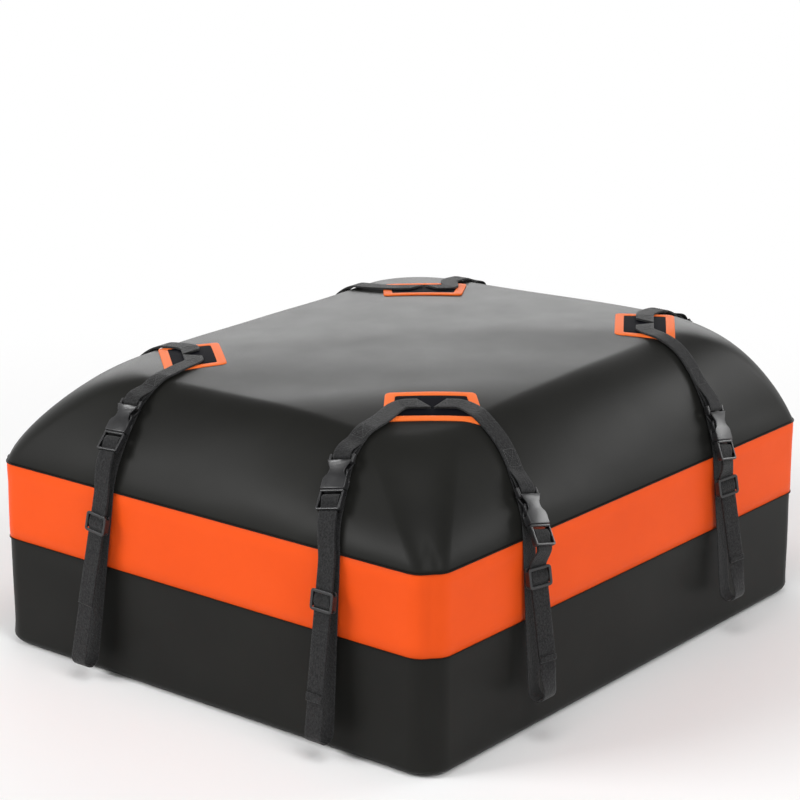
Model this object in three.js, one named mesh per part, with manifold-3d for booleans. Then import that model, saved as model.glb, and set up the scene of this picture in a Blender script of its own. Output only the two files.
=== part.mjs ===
// A soft roof cargo bag, packed full and ready to strap down.
// X runs across the bag, Y along it, Z up. The origin is the middle of the base.
// A welded bag body carries a coloured band, four corner patches and eight webbing straps.
// Each strap has a side-release buckle and a slider that keeps its loose tail in place.
// A zip runs across the rear wall below the band, under a rain flap.
import * as THREE from "three";
import { mergeVertices } from "three/addons/utils/BufferGeometryUtils.js";
import Module from "manifold-3d";

const wasm = await Module();
wasm.setup();

// Driving dimensions, in millimetres unless the name says otherwise.
// The bag body.
const BAG_WIDTH = 900;
const BAG_LENGTH = 1040;
const WALL_CORNER_RADIUS = 46;
const BASE_TUCK = 18;
const BASE_ROUND = 16;
const SHOULDER_RISE = 165;
const SHOULDER_RUN = 135;
const SHOULDER_START_POWER = 1.2;
const SHOULDER_END_POWER = 0.6;
const RIM_CORNER_RADIUS = 115;
const CROWN_RISE = 14;

// How the packed load shapes the top: higher to the right and rear, sagging at the near corner.
const LOAD_RISE_RIGHT = 5;
const LOAD_RISE_REAR = 14;
const LOAD_BLEND_HEIGHT = 138;
const CORNER_SAG = 24;
const SAG_START_SHARE = 0.4;
const SAG_END_SHARE = 0.85;

// The coloured band.
const BAND_BOTTOM = 184;
const BAND_HEIGHT = 128;
const SKIN_THICKNESS = 1.2;
const SEAT_GAP = 0.3;

// The corner patches, each with its long sides across the bag's diagonal: the signs of its
// corner, how far its middle lies in from the two walls that meet there, and the turn in
// degrees of the way to the bag's corner from the Y axis.
const PATCHES = [
  { name: "near", signX: 1, signY: -1, inX: 197, inY: 252, turn: 41 },
  { name: "right", signX: 1, signY: 1, inX: 182, inY: 228, turn: 57 },
  { name: "far", signX: -1, signY: 1, inX: 258, inY: 243, turn: 36 },
  { name: "left", signX: -1, signY: -1, inX: 219, inY: 239, turn: 41 },
];
const PATCH_INNER_SIDE = 138;
const PATCH_OUTER_SIDE = 152;
const PATCH_DEPTH = 100;
const PATCH_BORDER = 15;
const PATCH_CORNER_RADIUS = 10;

// The webbing.
const WEB_WIDTH = 30;
const WEB_THICKNESS = 1.6;
const WEB_CLEARANCE = 2.2;
const LAYER_GAP = 0.8;
const WEB_END_SPREAD = 10;
const WEB_LEAD = 30;
const RUN_CLEARANCE = 12;
const LOOP_STANDOFF = 18;
const LOOP_RADIUS = 15;
const SEWN_INSET = 1;
const SEWN_SHARE = 0.5;
const PLY_STEP_SHARE = 0.4;

// The side-release buckle: v is measured down the strap from the middle of the socket's bar.
const BUCKLE_STANDOFF = 12;
const SOCKET_HALF_WIDTH = 21.5;
const SOCKET_HALF_THICKNESS = 6.5;
const SOCKET_BAR_HALF_HEIGHT = 2.5;
const SOCKET_BAR_HALF_THICKNESS = 2.5;
const SOCKET_SLOT_LENGTH = 7;
const SOCKET_LENGTH = 57;
const SOCKET_WAIST_HALF_WIDTH = 13;
const SOCKET_WAIST_START = 20;
const SOCKET_WAIST_END = 35;
const EAR_HALF_THICKNESS = 4;
const CHANNEL_HALF_WIDTH = 17.5;
const CHANNEL_HALF_THICKNESS = 3.3;
const CHANNEL_DEPTH = 39;
const PLUG_LENGTH = 33;
const PLUG_HALF_WIDTH = 20.5;
const PLUG_HALF_THICKNESS = 4.5;
const PLUG_COLLAR = 4;
const PLUG_COLLAR_HALF_THICKNESS = 6;
const PLUG_UPPER_SLOT = 5;
const PLUG_BAR = 5;
const PLUG_LOWER_BAR = 4.5;
const PRONG_WIDTH = 4;
const PRONG_LENGTH = 34;
const GUIDE_WIDTH = 5;
const GUIDE_LENGTH = 27;
const SLIDING_CLEARANCE = 0.5;

// The slider on each strap.
const GLIDE_HALF_WIDTH = 21;
const GLIDE_HALF_HEIGHT = 16;
const GLIDE_BAR = 5;
const GLIDE_BAR_THICKNESS = 2.9;
const GLIDE_CENTRE_BAR = 6;
const GLIDE_CORNER_RADIUS = 5;

// The zip across the rear wall, its chain a drop below the band.
const ZIP_DROP = 40;
const ZIP_LENGTH = 700;
const TAPE_HEIGHT = 44;
const CHAIN_HEIGHT = 6;
const CHAIN_THICKNESS = 2.3;
const SLIDER_LENGTH = 16;
const SLIDER_HEIGHT = 17;
const SLIDER_WALL = 1.8;
const PULL_LENGTH = 26;
const PULL_WIDTH = 8;
const PULL_THICKNESS = 2.6;
const PULL_PIN = 1.4;
const PULL_PIN_CLEARANCE = 0.3;
const PULL_EYE_WALL = 1;
const FLAP_HEM = 12;
const FLAP_DROP = 14;
const FLAP_OVERHANG = 20;

// Fineness of the faceted solids.
const CORNER_STEPS = 6;
const SIDE_STEPS = 6;
const SHOULDER_STEPS = 8;
const ARC_STEPS = 5;
const SLOPE_STEP = 4;
const ROUTE_STEPS = 12;

// Each strap: side of the bag and number, and which end of that wall is its corner. Then
// its route from patch to socket as [inwards from the wall, in from the corner] pairs, the
// buckle's sideways lean in degrees, the knee below the plug as [in from the corner, drop],
// the foot loop as [in from the corner, lowest height], the heights of the slider and of
// the tail's end, how many degrees the outer run is turned about its length, and how much
// farther along the wall its twin on the opposite side lies.
const ROUTES = [
  { side: "front", number: 1, corner: 1, plan: [[162, 224], [125, 224], [82, 222]], lean: 14,
    knee: [179, 58], foot: [181, 27], slider: 244, tailEnd: 94, turn: 0, twinShift: -32 },
  { side: "front", number: 2, corner: -1, plan: [[179, 252], [116, 256], [78, 251]], lean: 3,
    knee: [262, 58], foot: [231, 23], slider: 262, tailEnd: 129, turn: 0, twinShift: -38 },
  { side: "right", number: 1, corner: -1, plan: [[112, 272], [66, 268], [30, 250]], lean: -14,
    knee: [227, 20], foot: [224, 66], slider: 256, tailEnd: 130, turn: -16, twinShift: 0 },
  { side: "right", number: 2, corner: 1, plan: [[130, 270], [92, 264], [58, 266], [28, 271]],
    lean: -10, knee: [285, 20], foot: [274, 65], slider: 262, tailEnd: 136, turn: -16,
    twinShift: 0 },
];

const COLOURS = {
  tarpaulin: { color: 0x3a3a38, roughness: 0.42, metalness: 0 },
  orange: { color: 0xf26022, roughness: 0.45, metalness: 0 },
  webbing: { color: 0x2e2e30, roughness: 0.85, metalness: 0 },
  plastic: { color: 0x3c3c3e, roughness: 0.5, metalness: 0 },
  zip: { color: 0x1c1c1e, roughness: 0.6, metalness: 0 },
};

// Sizes that follow from the driving dimensions.
const HALF_WIDTH = BAG_WIDTH / 2;
const HALF_LENGTH = BAG_LENGTH / 2;
const BAND_TOP = BAND_BOTTOM + BAND_HEIGHT;
const ZIP_HEIGHT = BAND_BOTTOM - ZIP_DROP;
const RIM_HEIGHT = BAND_TOP + SHOULDER_RISE;
const SLOT_HALF_WIDTH = WEB_WIDTH / 2 + 2;
const LEG_OFFSET = WEB_CLEARANCE + WEB_THICKNESS / 2;
const PLUG_START = SOCKET_LENGTH + SEAT_GAP;
const PLUG_END = SOCKET_LENGTH + PLUG_LENGTH;
const PLUG_BAR_START = PLUG_START + PLUG_COLLAR + PLUG_UPPER_SLOT;
const PLUG_BAR_END = PLUG_BAR_START + PLUG_BAR;
const PLUG_BAR_HALF_THICKNESS = WEB_THICKNESS;
const RUN_DEPTH = -(PLUG_BAR_HALF_THICKNESS + SLIDING_CLEARANCE + WEB_THICKNESS / 2);
const TAIL_STEP = WEB_THICKNESS + LAYER_GAP;
const SIDES = { right: 0, rear: Math.PI / 2, left: Math.PI, front: -Math.PI / 2 };
const OPPOSITE = { right: "left", front: "rear" };

const bag = new THREE.Group();

// Adds one named sub-part to the model.
function addPart(name, geometry, finish, placement) {
  const mesh = new THREE.Mesh(geometry, new THREE.MeshStandardMaterial(COLOURS[finish]));
  mesh.name = name;
  if (placement) {
    mesh.applyMatrix4(placement);
  }
  bag.add(mesh);
  return mesh;
}

// A closed geometry as a solid for joining and cutting.
function toSolid(geometry) {
  const bare = new THREE.BufferGeometry();
  bare.setAttribute("position", geometry.getAttribute("position").clone());
  if (geometry.index) {
    bare.setIndex(geometry.index.clone());
  }
  const merged = mergeVertices(bare, 1e-4);
  return new wasm.Manifold(new wasm.Mesh({
    numProp: 3,
    vertProperties: new Float32Array(merged.attributes.position.array),
    triVerts: new Uint32Array(merged.index.array),
  }));
}

function toGeometry(solid) {
  const mesh = solid.getMesh();
  const geometry = new THREE.BufferGeometry();
  geometry.setAttribute("position", new THREE.BufferAttribute(mesh.vertProperties, 3));
  geometry.setIndex(new THREE.BufferAttribute(mesh.triVerts, 1));
  return geometry;
}

// A box from its lowest and highest corners.
function boxSolid(low, high) {
  const size = high.map((value, k) => value - low[k]);
  const box = new THREE.BoxGeometry(...size);
  box.translate(...high.map((value, k) => (value + low[k]) / 2));
  return toSolid(box);
}

// A flat outline carried along its third axis from one level to another.
function plateSolid(shape, from, to, curveSegments = ARC_STEPS) {
  const options = { depth: to - from, bevelEnabled: false, curveSegments };
  const plate = new THREE.ExtrudeGeometry(shape, options);
  plate.translate(0, 0, from);
  return toSolid(plate);
}

function joined(...solids) {
  return solids.reduce((all, next) => all.add(next));
}

// The plan outline of the bag drawn in by an inset, counterclockwise from the right side.
function ringPoints(inset, radius) {
  const centreX = HALF_WIDTH - inset - radius;
  const centreY = HALF_LENGTH - inset - radius;
  const arcs = [];
  for (let corner = 0; corner < 4; corner++) {
    const signX = corner === 0 || corner === 3 ? 1 : -1;
    const signY = corner < 2 ? 1 : -1;
    const arc = [];
    for (let k = 0; k <= CORNER_STEPS; k++) {
      const angle = ((corner + k / CORNER_STEPS) * Math.PI) / 2;
      const x = signX * centreX + radius * Math.cos(angle);
      const y = signY * centreY + radius * Math.sin(angle);
      arc.push(new THREE.Vector2(x, y));
    }
    arcs.push(arc);
  }
  const points = [];
  arcs.forEach((arc, corner) => {
    const next = arcs[(corner + 1) % 4][0];
    const last = arc[arc.length - 1];
    points.push(...arc);
    for (let k = 1; k < SIDE_STEPS; k++) {
      points.push(last.clone().lerp(next, k / SIDE_STEPS));
    }
  });
  return points;
}

// How far the shoulder has drawn in at a share of its rise, and the corner radius there.
function shoulderInset(share) {
  return SHOULDER_RUN * (1 - (1 - share ** SHOULDER_START_POWER) ** SHOULDER_END_POWER);
}

function shoulderRadius(inset) {
  return WALL_CORNER_RADIUS + ((RIM_CORNER_RADIUS - WALL_CORNER_RADIUS) * inset) / SHOULDER_RUN;
}

function smoothStep(value) {
  const t = THREE.MathUtils.clamp(value, 0, 1);
  return t * t * (3 - 2 * t);
}

// Height of the top and shoulder with the load's rise and sag put in.
function loadedHeight(x, y, z) {
  const weight = smoothStep((z - BAND_TOP) / LOAD_BLEND_HEIGHT);
  const across = x / HALF_WIDTH;
  const along = y / HALF_LENGTH;
  const nearCorner = (across - along) / 2;
  const sag = smoothStep((nearCorner - SAG_START_SHARE) / (SAG_END_SHARE - SAG_START_SHARE));
  return z + weight * (LOAD_RISE_RIGHT * across + LOAD_RISE_REAR * along - CORNER_SAG * sag);
}

// Signed distance in plan from the outline at an inset: below zero inside it.
function planDistance(x, y, inset, radius) {
  const overX = Math.abs(x) - (HALF_WIDTH - inset - radius);
  const overY = Math.abs(y) - (HALF_LENGTH - inset - radius);
  const outside = Math.hypot(Math.max(overX, 0), Math.max(overY, 0));
  return outside + Math.min(Math.max(overX, overY), 0) - radius;
}

function halve(low, high, isLow) {
  for (let k = 0; k < 36; k++) {
    const middle = (low + high) / 2;
    if (isLow(middle)) {
      low = middle;
    } else {
      high = middle;
    }
  }
  return (low + high) / 2;
}

// Height of the bag's top or shoulder over a point of the plan.
function surfaceHeight(x, y) {
  if (planDistance(x, y, SHOULDER_RUN, RIM_CORNER_RADIUS) > 0) {
    const share = halve(0, 1, (t) => {
      const inset = shoulderInset(t);
      return planDistance(x, y, inset, shoulderRadius(inset)) < 0;
    });
    return loadedHeight(x, y, BAND_TOP + SHOULDER_RISE * share);
  }
  const scale = halve(1e-6, 1, (t) => {
    return planDistance(x / t, y / t, SHOULDER_RUN, RIM_CORNER_RADIUS) > 0;
  });
  return loadedHeight(x, y, RIM_HEIGHT + CROWN_RISE * (1 - scale * scale));
}

// A closed skin through level rings of equal count, from the lowest ring to the highest.
function loftGeometry(rings) {
  const count = rings[0].length;
  const positions = rings.flat().flatMap((p) => [p.x, p.y, p.z]);
  const middle = (ring) => {
    const sum = ring.reduce((total, p) => total.add(p), new THREE.Vector3());
    return sum.divideScalar(count);
  };
  const bottom = middle(rings[0]);
  const top = middle(rings[rings.length - 1]);
  const bottomIndex = rings.length * count;
  positions.push(bottom.x, bottom.y, bottom.z, top.x, top.y, crownCentreHeight());
  const index = [];
  for (let level = 0; level + 1 < rings.length; level++) {
    for (let k = 0; k < count; k++) {
      const a = level * count + k;
      const b = level * count + ((k + 1) % count);
      index.push(a, b, b + count, a, b + count, a + count);
    }
  }
  const last = (rings.length - 1) * count;
  for (let k = 0; k < count; k++) {
    const next = (k + 1) % count;
    index.push(bottomIndex, next, k);
    index.push(bottomIndex + 1, last + k, last + next);
  }
  const geometry = new THREE.BufferGeometry();
  geometry.setAttribute("position", new THREE.Float32BufferAttribute(positions, 3));
  geometry.setIndex(index);
  return geometry;
}

function crownCentreHeight() {
  return loadedHeight(0, 0, RIM_HEIGHT + CROWN_RISE);
}

// The bag body: tucked base edge, upright walls, rounded shoulder and low crown.
function bodyGeometry() {
  const rings = [];
  const addRing = (inset, radius, z, scale = 1) => {
    const ring = ringPoints(inset, radius).map((p) => p.multiplyScalar(scale));
    rings.push(ring.map((p) => new THREE.Vector3(p.x, p.y, loadedHeight(p.x, p.y, z))));
  };
  for (const share of [0, 0.35, 1]) {
    const angle = (share * Math.PI) / 2;
    const inset = BASE_TUCK * (1 - Math.sin(angle));
    addRing(inset, WALL_CORNER_RADIUS, BASE_ROUND * (1 - Math.cos(angle)));
  }
  for (let k = 0; k <= SHOULDER_STEPS; k++) {
    const share = 1 - (1 - k / SHOULDER_STEPS) ** 1.5;
    const inset = shoulderInset(share);
    addRing(inset, shoulderRadius(inset), BAND_TOP + SHOULDER_RISE * share);
  }
  for (const scale of [0.88, 0.72, 0.5, 0.25]) {
    const z = RIM_HEIGHT + CROWN_RISE * (1 - scale * scale);
    addRing(SHOULDER_RUN, RIM_CORNER_RADIUS, z, scale);
  }
  return loftGeometry(rings);
}

// The band: a thin ring round the upright wall.
function bandGeometry() {
  const outline = (offset) => ringPoints(-offset, WALL_CORNER_RADIUS + offset);
  const shape = new THREE.Shape(outline(SEAT_GAP + SKIN_THICKNESS));
  shape.holes.push(new THREE.Path(outline(SEAT_GAP)));
  return toGeometry(plateSolid(shape, BAND_BOTTOM, BAND_TOP));
}

// A patch outline with rounded corners, drawn in by a border, in the patch's own axes:
// the first across the bag's diagonal, the second outwards along it.
function patchShape(border, radius) {
  const half = PATCH_DEPTH / 2 - border;
  const inner = PATCH_INNER_SIDE / 2 - border;
  const outer = PATCH_OUTER_SIDE / 2 - border;
  const corners = [[-inner, -half], [inner, -half], [outer, half], [-outer, half]];
  const points = corners.map(([a, b]) => new THREE.Vector2(a, b));
  const shape = new THREE.Shape();
  points.forEach((corner, k) => {
    const before = points[(k + 3) % 4];
    const after = points[(k + 1) % 4];
    const enter = corner.clone().add(before.clone().sub(corner).setLength(radius));
    const leave = corner.clone().add(after.clone().sub(corner).setLength(radius));
    if (k === 0) {
      shape.moveTo(enter.x, enter.y);
    } else {
      shape.lineTo(enter.x, enter.y);
    }
    shape.quadraticCurveTo(corner.x, corner.y, leave.x, leave.y);
  });
  shape.closePath();
  return shape;
}

// Cuts a skin of even height off an upright prism, lying just over the bag's surface.
function skinOver(prism, bodySolid) {
  const above = bodySolid.translate([0, 0, SEAT_GAP + SKIN_THICKNESS]);
  const below = bodySolid.translate([0, 0, SEAT_GAP]);
  return prism.intersect(above).subtract(below);
}

// A patch's middle in plan, its direction towards the bag's corner, and the direction
// of its long sides towards the bag's right or left wall.
function patchFrame({ signX, signY, inX, inY, turn }) {
  const angle = THREE.MathUtils.degToRad(turn);
  return {
    centre: new THREE.Vector2(signX * (HALF_WIDTH - inX), signY * (HALF_LENGTH - inY)),
    outward: new THREE.Vector2(signX * Math.sin(angle), signY * Math.cos(angle)),
    sideways: new THREE.Vector2(signX * Math.cos(angle), -signY * Math.sin(angle)),
  };
}

function addPatches(bodySolid) {
  const top = RIM_HEIGHT + CROWN_RISE + LOAD_RISE_REAR * 2;
  for (const patch of PATCHES) {
    const { centre, outward } = patchFrame(patch);
    const heading = Math.atan2(outward.y, outward.x) - Math.PI / 2;
    const place = (solid) => {
      const turned = solid.rotate([0, 0, THREE.MathUtils.radToDeg(heading)]);
      return turned.translate([centre.x, centre.y, 0]);
    };
    const field = patchShape(PATCH_BORDER, PATCH_CORNER_RADIUS / 3);
    const hole = patchShape(PATCH_BORDER - SEAT_GAP, PATCH_CORNER_RADIUS / 3);
    const outline = patchShape(0, PATCH_CORNER_RADIUS);
    outline.holes.push(hole);
    const frame = place(plateSolid(outline, BAND_TOP, top, 3));
    const pad = place(plateSolid(field, BAND_TOP, top, 2));
    addPart(`patch_border_${patch.name}`, toGeometry(skinOver(frame, bodySolid)), "orange");
    addPart(`patch_pad_${patch.name}`, toGeometry(skinOver(pad, bodySolid)), "tarpaulin");
  }
}

// A wall of the bag as axes: outwards, along the wall, and up.
function sideAxes(side) {
  const angle = SIDES[side];
  const wall = side === "right" || side === "left" ? HALF_WIDTH : HALF_LENGTH;
  const out = new THREE.Vector3(Math.cos(angle), Math.sin(angle), 0);
  const along = new THREE.Vector3(-Math.sin(angle), Math.cos(angle), 0);
  const up = new THREE.Vector3(0, 0, 1);
  const point = (beyond, s, z) => {
    const flat = out.clone().multiplyScalar(wall + beyond).addScaledVector(along, s);
    return flat.addScaledVector(up, z);
  };
  return { wall, out, along, up, point };
}

// A point on the top or shoulder at a plan place, with the outward normal there.
function surfaceSpot(axes, inwards, s) {
  const spot = axes.point(-inwards, s, 0);
  const height = (dx, dy) => surfaceHeight(spot.x + dx, spot.y + dy);
  spot.z = height(0, 0);
  const slopeX = (height(SLOPE_STEP, 0) - height(-SLOPE_STEP, 0)) / (2 * SLOPE_STEP);
  const slopeY = (height(0, SLOPE_STEP) - height(0, -SLOPE_STEP)) / (2 * SLOPE_STEP);
  const normal = new THREE.Vector3(-slopeX, -slopeY, 1).normalize();
  return { point: spot, normal };
}

// How far inwards from the wall the bag's surface lies at a height on the shoulder.
function insetAt(axes, s, z) {
  return halve(0, axes.wall / 2, (inwards) => {
    const spot = axes.point(-inwards, s, 0);
    return surfaceHeight(spot.x, spot.y) < z;
  });
}

// A point on the shoulder at a height, with the outward normal there.
function shoulderSpot(axes, s, z) {
  if (z <= BAND_TOP) {
    return { point: axes.point(0, s, z), normal: axes.out.clone() };
  }
  const inset = insetAt(axes, s, z);
  const perRise = insetAt(axes, s, z + 1) - inset;
  const perAlong = insetAt(axes, s + 1, z) - inset;
  const normal = axes.out.clone().addScaledVector(axes.along, perAlong);
  normal.addScaledVector(axes.up, perRise).normalize();
  return { point: axes.point(-inset, s, z), normal };
}

// A flat strap carried through stations, each a point with the direction its face looks.
function ribbonGeometry(stations, width = WEB_WIDTH, thickness = WEB_THICKNESS) {
  const positions = [];
  stations.forEach(({ point, normal }, k) => {
    const before = stations[Math.max(k - 1, 0)].point;
    const after = stations[Math.min(k + 1, stations.length - 1)].point;
    const forward = after.clone().sub(before).normalize();
    const across = normal.clone().cross(forward).normalize();
    const face = forward.clone().cross(across).normalize();
    for (const [a, b] of [[1, 1], [-1, 1], [-1, -1], [1, -1]]) {
      const corner = point.clone().addScaledVector(across, (a * width) / 2);
      corner.addScaledVector(face, (b * thickness) / 2);
      positions.push(corner.x, corner.y, corner.z);
    }
  });
  const index = [];
  for (let k = 0; k + 1 < stations.length; k++) {
    for (let c = 0; c < 4; c++) {
      const a = 4 * k + c;
      const b = 4 * k + ((c + 1) % 4);
      index.push(a, b, b + 4, a, b + 4, a + 4);
    }
  }
  const last = 4 * (stations.length - 1);
  index.push(0, 2, 1, 0, 3, 2, last, last + 1, last + 2, last, last + 2, last + 3);
  const geometry = new THREE.BufferGeometry();
  geometry.setAttribute("position", new THREE.Float32BufferAttribute(positions, 3));
  geometry.setIndex(index);
  return geometry;
}

// The middle of a strap's foot loop, and the line its outer run keeps beside the wall.
function footLoop(axes, route) {
  const [along, low] = route.foot;
  const height = low + LOOP_RADIUS + WEB_THICKNESS / 2;
  const outermost = LOOP_STANDOFF + 2 * LOOP_RADIUS;
  const slope = (outermost - RUN_CLEARANCE) / (BAND_TOP - height);
  return {
    centre: axes.point(LOOP_STANDOFF + LOOP_RADIUS, along, height),
    outer: axes.point(outermost, along, height),
    beyondAt: (z) => RUN_CLEARANCE + slope * (BAND_TOP - z),
  };
}

// Where a strap's buckle lies: its bar's middle, and its axes across, down and outwards.
// It leans out just far enough to clear the shoulder and the wall.
function buckleFrame(axes, route) {
  const [inwards, s] = route.plan[route.plan.length - 1];
  const spot = surfaceSpot(axes, inwards, s);
  const origin = spot.point.clone().addScaledVector(spot.normal, BUCKLE_STANDOFF);
  const startOut = origin.dot(axes.out) - axes.wall;
  const startAlong = origin.dot(axes.along);
  let pitch = 0;
  for (let round = 0; round < 8; round++) {
    const spare = BUCKLE_STANDOFF / Math.cos(pitch);
    let steepest = 0;
    for (let drop = PLUG_END / 8; drop <= PLUG_END; drop += PLUG_END / 8) {
      const z = origin.z - drop * Math.cos(pitch);
      const inset = z > BAND_TOP ? insetAt(axes, startAlong, z) : 0;
      steepest = Math.max(steepest, Math.atan2(spare - inset - startOut, origin.z - z));
    }
    pitch = steepest;
  }
  const lean = THREE.MathUtils.degToRad(route.lean);
  const down = axes.out.clone().multiplyScalar(Math.sin(pitch) * Math.cos(lean));
  down.addScaledVector(axes.along, Math.sin(lean));
  down.addScaledVector(axes.up, -Math.cos(pitch) * Math.cos(lean));
  const face = axes.out.clone().multiplyScalar(Math.cos(pitch));
  face.addScaledVector(axes.up, Math.sin(pitch));
  const across = down.clone().cross(face).normalize();
  const matrix = new THREE.Matrix4().makeBasis(across, down, face).setPosition(origin);
  const point = (v, w) => origin.clone().addScaledVector(down, v).addScaledVector(face, w);
  return { origin, down, face, matrix, point };
}

// The straight run of a strap from its knee below the plug to its foot loop, as axes for
// its slider.
function outerRun(axes, route, buckle, foot) {
  const [kneeAlong, kneeDrop] = route.knee;
  const kneeHeight = buckle.point(PLUG_END, RUN_DEPTH).z - kneeDrop;
  const top = axes.point(foot.beyondAt(kneeHeight), kneeAlong, kneeHeight);
  const down = foot.outer.clone().sub(top).normalize();
  const turn = THREE.MathUtils.degToRad(route.turn);
  const facing = axes.out.clone().multiplyScalar(Math.cos(turn));
  facing.addScaledVector(axes.along, Math.sin(turn));
  const across = down.clone().cross(facing).normalize();
  const face = across.clone().cross(down).normalize();
  const at = (z) => top.clone().addScaledVector(down, (z - top.z) / down.z);
  return { top, down, across, face, at, centre: foot.centre };
}

// A strap's way over the top from its end on the patch to its socket.
function topRoute(axes, route) {
  const towards = axes.point(-route.plan[0][0], route.plan[0][1], 0);
  const patch = PATCHES.find(({ signX, signY }) => {
    return signX * towards.x > 0 && signY * towards.y > 0;
  });
  const { centre, sideways } = patchFrame(patch);
  const sense = Math.sign(sideways.x * axes.out.x + sideways.y * axes.out.y);
  const fromPatch = [WEB_END_SPREAD, WEB_END_SPREAD + WEB_LEAD].map((reach) => {
    const x = centre.x + sense * reach * sideways.x;
    const y = centre.y + sense * reach * sideways.y;
    const spot = new THREE.Vector3(x, y, 0);
    return new THREE.Vector3(axes.wall - spot.dot(axes.out), spot.dot(axes.along), 0);
  });
  const planned = route.plan.map(([inwards, s]) => new THREE.Vector3(inwards, s, 0));
  const curve = new THREE.CatmullRomCurve3([...fromPatch, ...planned]);
  return curve.getPoints(ROUTE_STEPS).map((p) => surfaceSpot(axes, p.x, p.y));
}

// The webbing sewn to the patch: a short leg that ends in the socket's bar, and under it a
// long leg that follows the bag's surface down and turns out at the foot loop.
function fixedWebbing(axes, route, buckle, run) {
  const spots = topRoute(axes, route);
  const raised = ({ point, normal }, offset) => {
    return { point: point.clone().addScaledVector(normal, offset), normal };
  };
  const longLeg = spots.map((spot) => raised(spot, LEG_OFFSET));
  const last = spots[spots.length - 1].point;
  const startAlong = last.dot(axes.along);
  const bandAlong = run.top.dot(axes.along);
  const shoulderSteps = 5;
  for (let k = 1; k <= shoulderSteps; k++) {
    const share = k / shoulderSteps;
    const s = THREE.MathUtils.lerp(startAlong, bandAlong, share);
    const z = THREE.MathUtils.lerp(last.z, BAND_TOP, share);
    longLeg.push(raised(shoulderSpot(axes, s, z), LEG_OFFSET));
  }
  for (let k = 0; k <= ARC_STEPS; k++) {
    const angle = ((k / ARC_STEPS) * Math.PI) / 2;
    const normal = axes.out.clone().multiplyScalar(Math.cos(angle));
    normal.addScaledVector(axes.up, Math.sin(angle));
    const point = run.centre.clone().addScaledVector(normal, -LOOP_RADIUS);
    if (k === ARC_STEPS) {
      point.addScaledVector(axes.out, -SEAT_GAP / 2);
    }
    longLeg.push({ point, normal });
  }

  const barDepth = SOCKET_BAR_HALF_THICKNESS + SLIDING_CLEARANCE + WEB_THICKNESS / 2;
  const stacked = LEG_OFFSET + WEB_THICKNESS * PLY_STEP_SHARE;
  const shortLeg = spots.slice(0, -2).map((spot) => raised(spot, stacked));
  const inBuckle = (v, w, tilt) => {
    const normal = buckle.face.clone().multiplyScalar(Math.cos(tilt));
    normal.addScaledVector(buckle.down, Math.sin(tilt));
    return { point: buckle.point(v, w), normal };
  };
  const wrapStart = -SOCKET_BAR_HALF_HEIGHT - 4;
  shortLeg.push(inBuckle(wrapStart, barDepth, 0), inBuckle(0, barDepth, 0));
  for (let k = 0; k <= 4; k++) {
    const angle = (k / 4) * Math.PI;
    const v = SOCKET_BAR_HALF_HEIGHT + 0.6 * barDepth * Math.sin(angle);
    shortLeg.push(inBuckle(v, barDepth * Math.cos(angle), angle));
  }
  shortLeg.push(inBuckle(0, -barDepth, Math.PI));
  const lifted = shortLeg[spots.length - 3];
  const sewnPoint = lifted.point.clone().lerp(buckle.point(wrapStart, barDepth), SEWN_SHARE);
  sewnPoint.addScaledVector(buckle.face, -WEB_THICKNESS / 8);
  const sewnBack = [
    inBuckle(1, -barDepth, Math.PI),
    inBuckle(wrapStart, -barDepth, Math.PI),
    { point: sewnPoint, normal: lifted.normal.clone().negate() },
  ];
  return toGeometry(joined(
    toSolid(ribbonGeometry(longLeg)),
    toSolid(ribbonGeometry(shortLeg, WEB_WIDTH - SEWN_INSET)),
    toSolid(ribbonGeometry(sewnBack, WEB_WIDTH - 2 * SEWN_INSET)),
  ));
}

// The webbing that moves with the plug: up from the foot loop, over the plug's middle bar
// and down again in front as the loose tail.
function freeWebbing(axes, route, buckle, run) {
  const rising = [];
  const endAngle = Math.asin(run.down.dot(axes.out));
  for (let k = 0; k <= ARC_STEPS; k++) {
    const angle = THREE.MathUtils.lerp(-Math.PI / 2, endAngle, k / ARC_STEPS);
    const outward = axes.out.clone().multiplyScalar(Math.cos(angle));
    outward.addScaledVector(axes.up, Math.sin(angle));
    const point = run.centre.clone().addScaledVector(outward, LOOP_RADIUS);
    if (k === 0) {
      point.addScaledVector(axes.out, SEAT_GAP / 2);
    }
    rising.push({ point, normal: outward });
  }
  rising.push({ point: run.at(route.tailEnd - LOOP_RADIUS / 2), normal: run.face });
  rising.push({ point: run.top, normal: run.face });
  const exit = { point: buckle.point(PLUG_END + 1, RUN_DEPTH), normal: buckle.face };
  const wrap = [];
  const centreV = PLUG_BAR_START + WEB_THICKNESS / 2;
  const radius = -RUN_DEPTH;
  for (let k = 0; k <= 6; k++) {
    const angle = (k / 6) * Math.PI;
    const v = centreV - radius * Math.sin(angle);
    const w = -radius * Math.cos(angle);
    const normal = buckle.face.clone().multiplyScalar(Math.cos(angle));
    normal.addScaledVector(buckle.down, Math.sin(angle));
    wrap.push({ point: buckle.point(v, w), normal });
  }
  const backFace = buckle.face.clone().negate();
  const tailDepth = RUN_DEPTH + TAIL_STEP;
  const slotMiddle = (PLUG_BAR_END + PLUG_END - PLUG_LOWER_BAR) / 2;
  const tail = [
    { point: buckle.point(PLUG_BAR_END, radius), normal: backFace },
    { point: buckle.point(slotMiddle, (radius + tailDepth) / 2), normal: backFace },
    { point: buckle.point(PLUG_END - PLUG_LOWER_BAR - 3, tailDepth), normal: backFace },
    { point: buckle.point(PLUG_END + 1, tailDepth), normal: backFace },
  ];
  for (const z of [run.top.z, route.tailEnd]) {
    const point = run.at(z).addScaledVector(run.face, TAIL_STEP);
    tail.push({ point, normal: run.face.clone().negate() });
  }
  return ribbonGeometry([...rising, exit, ...wrap, ...tail]);
}

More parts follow.
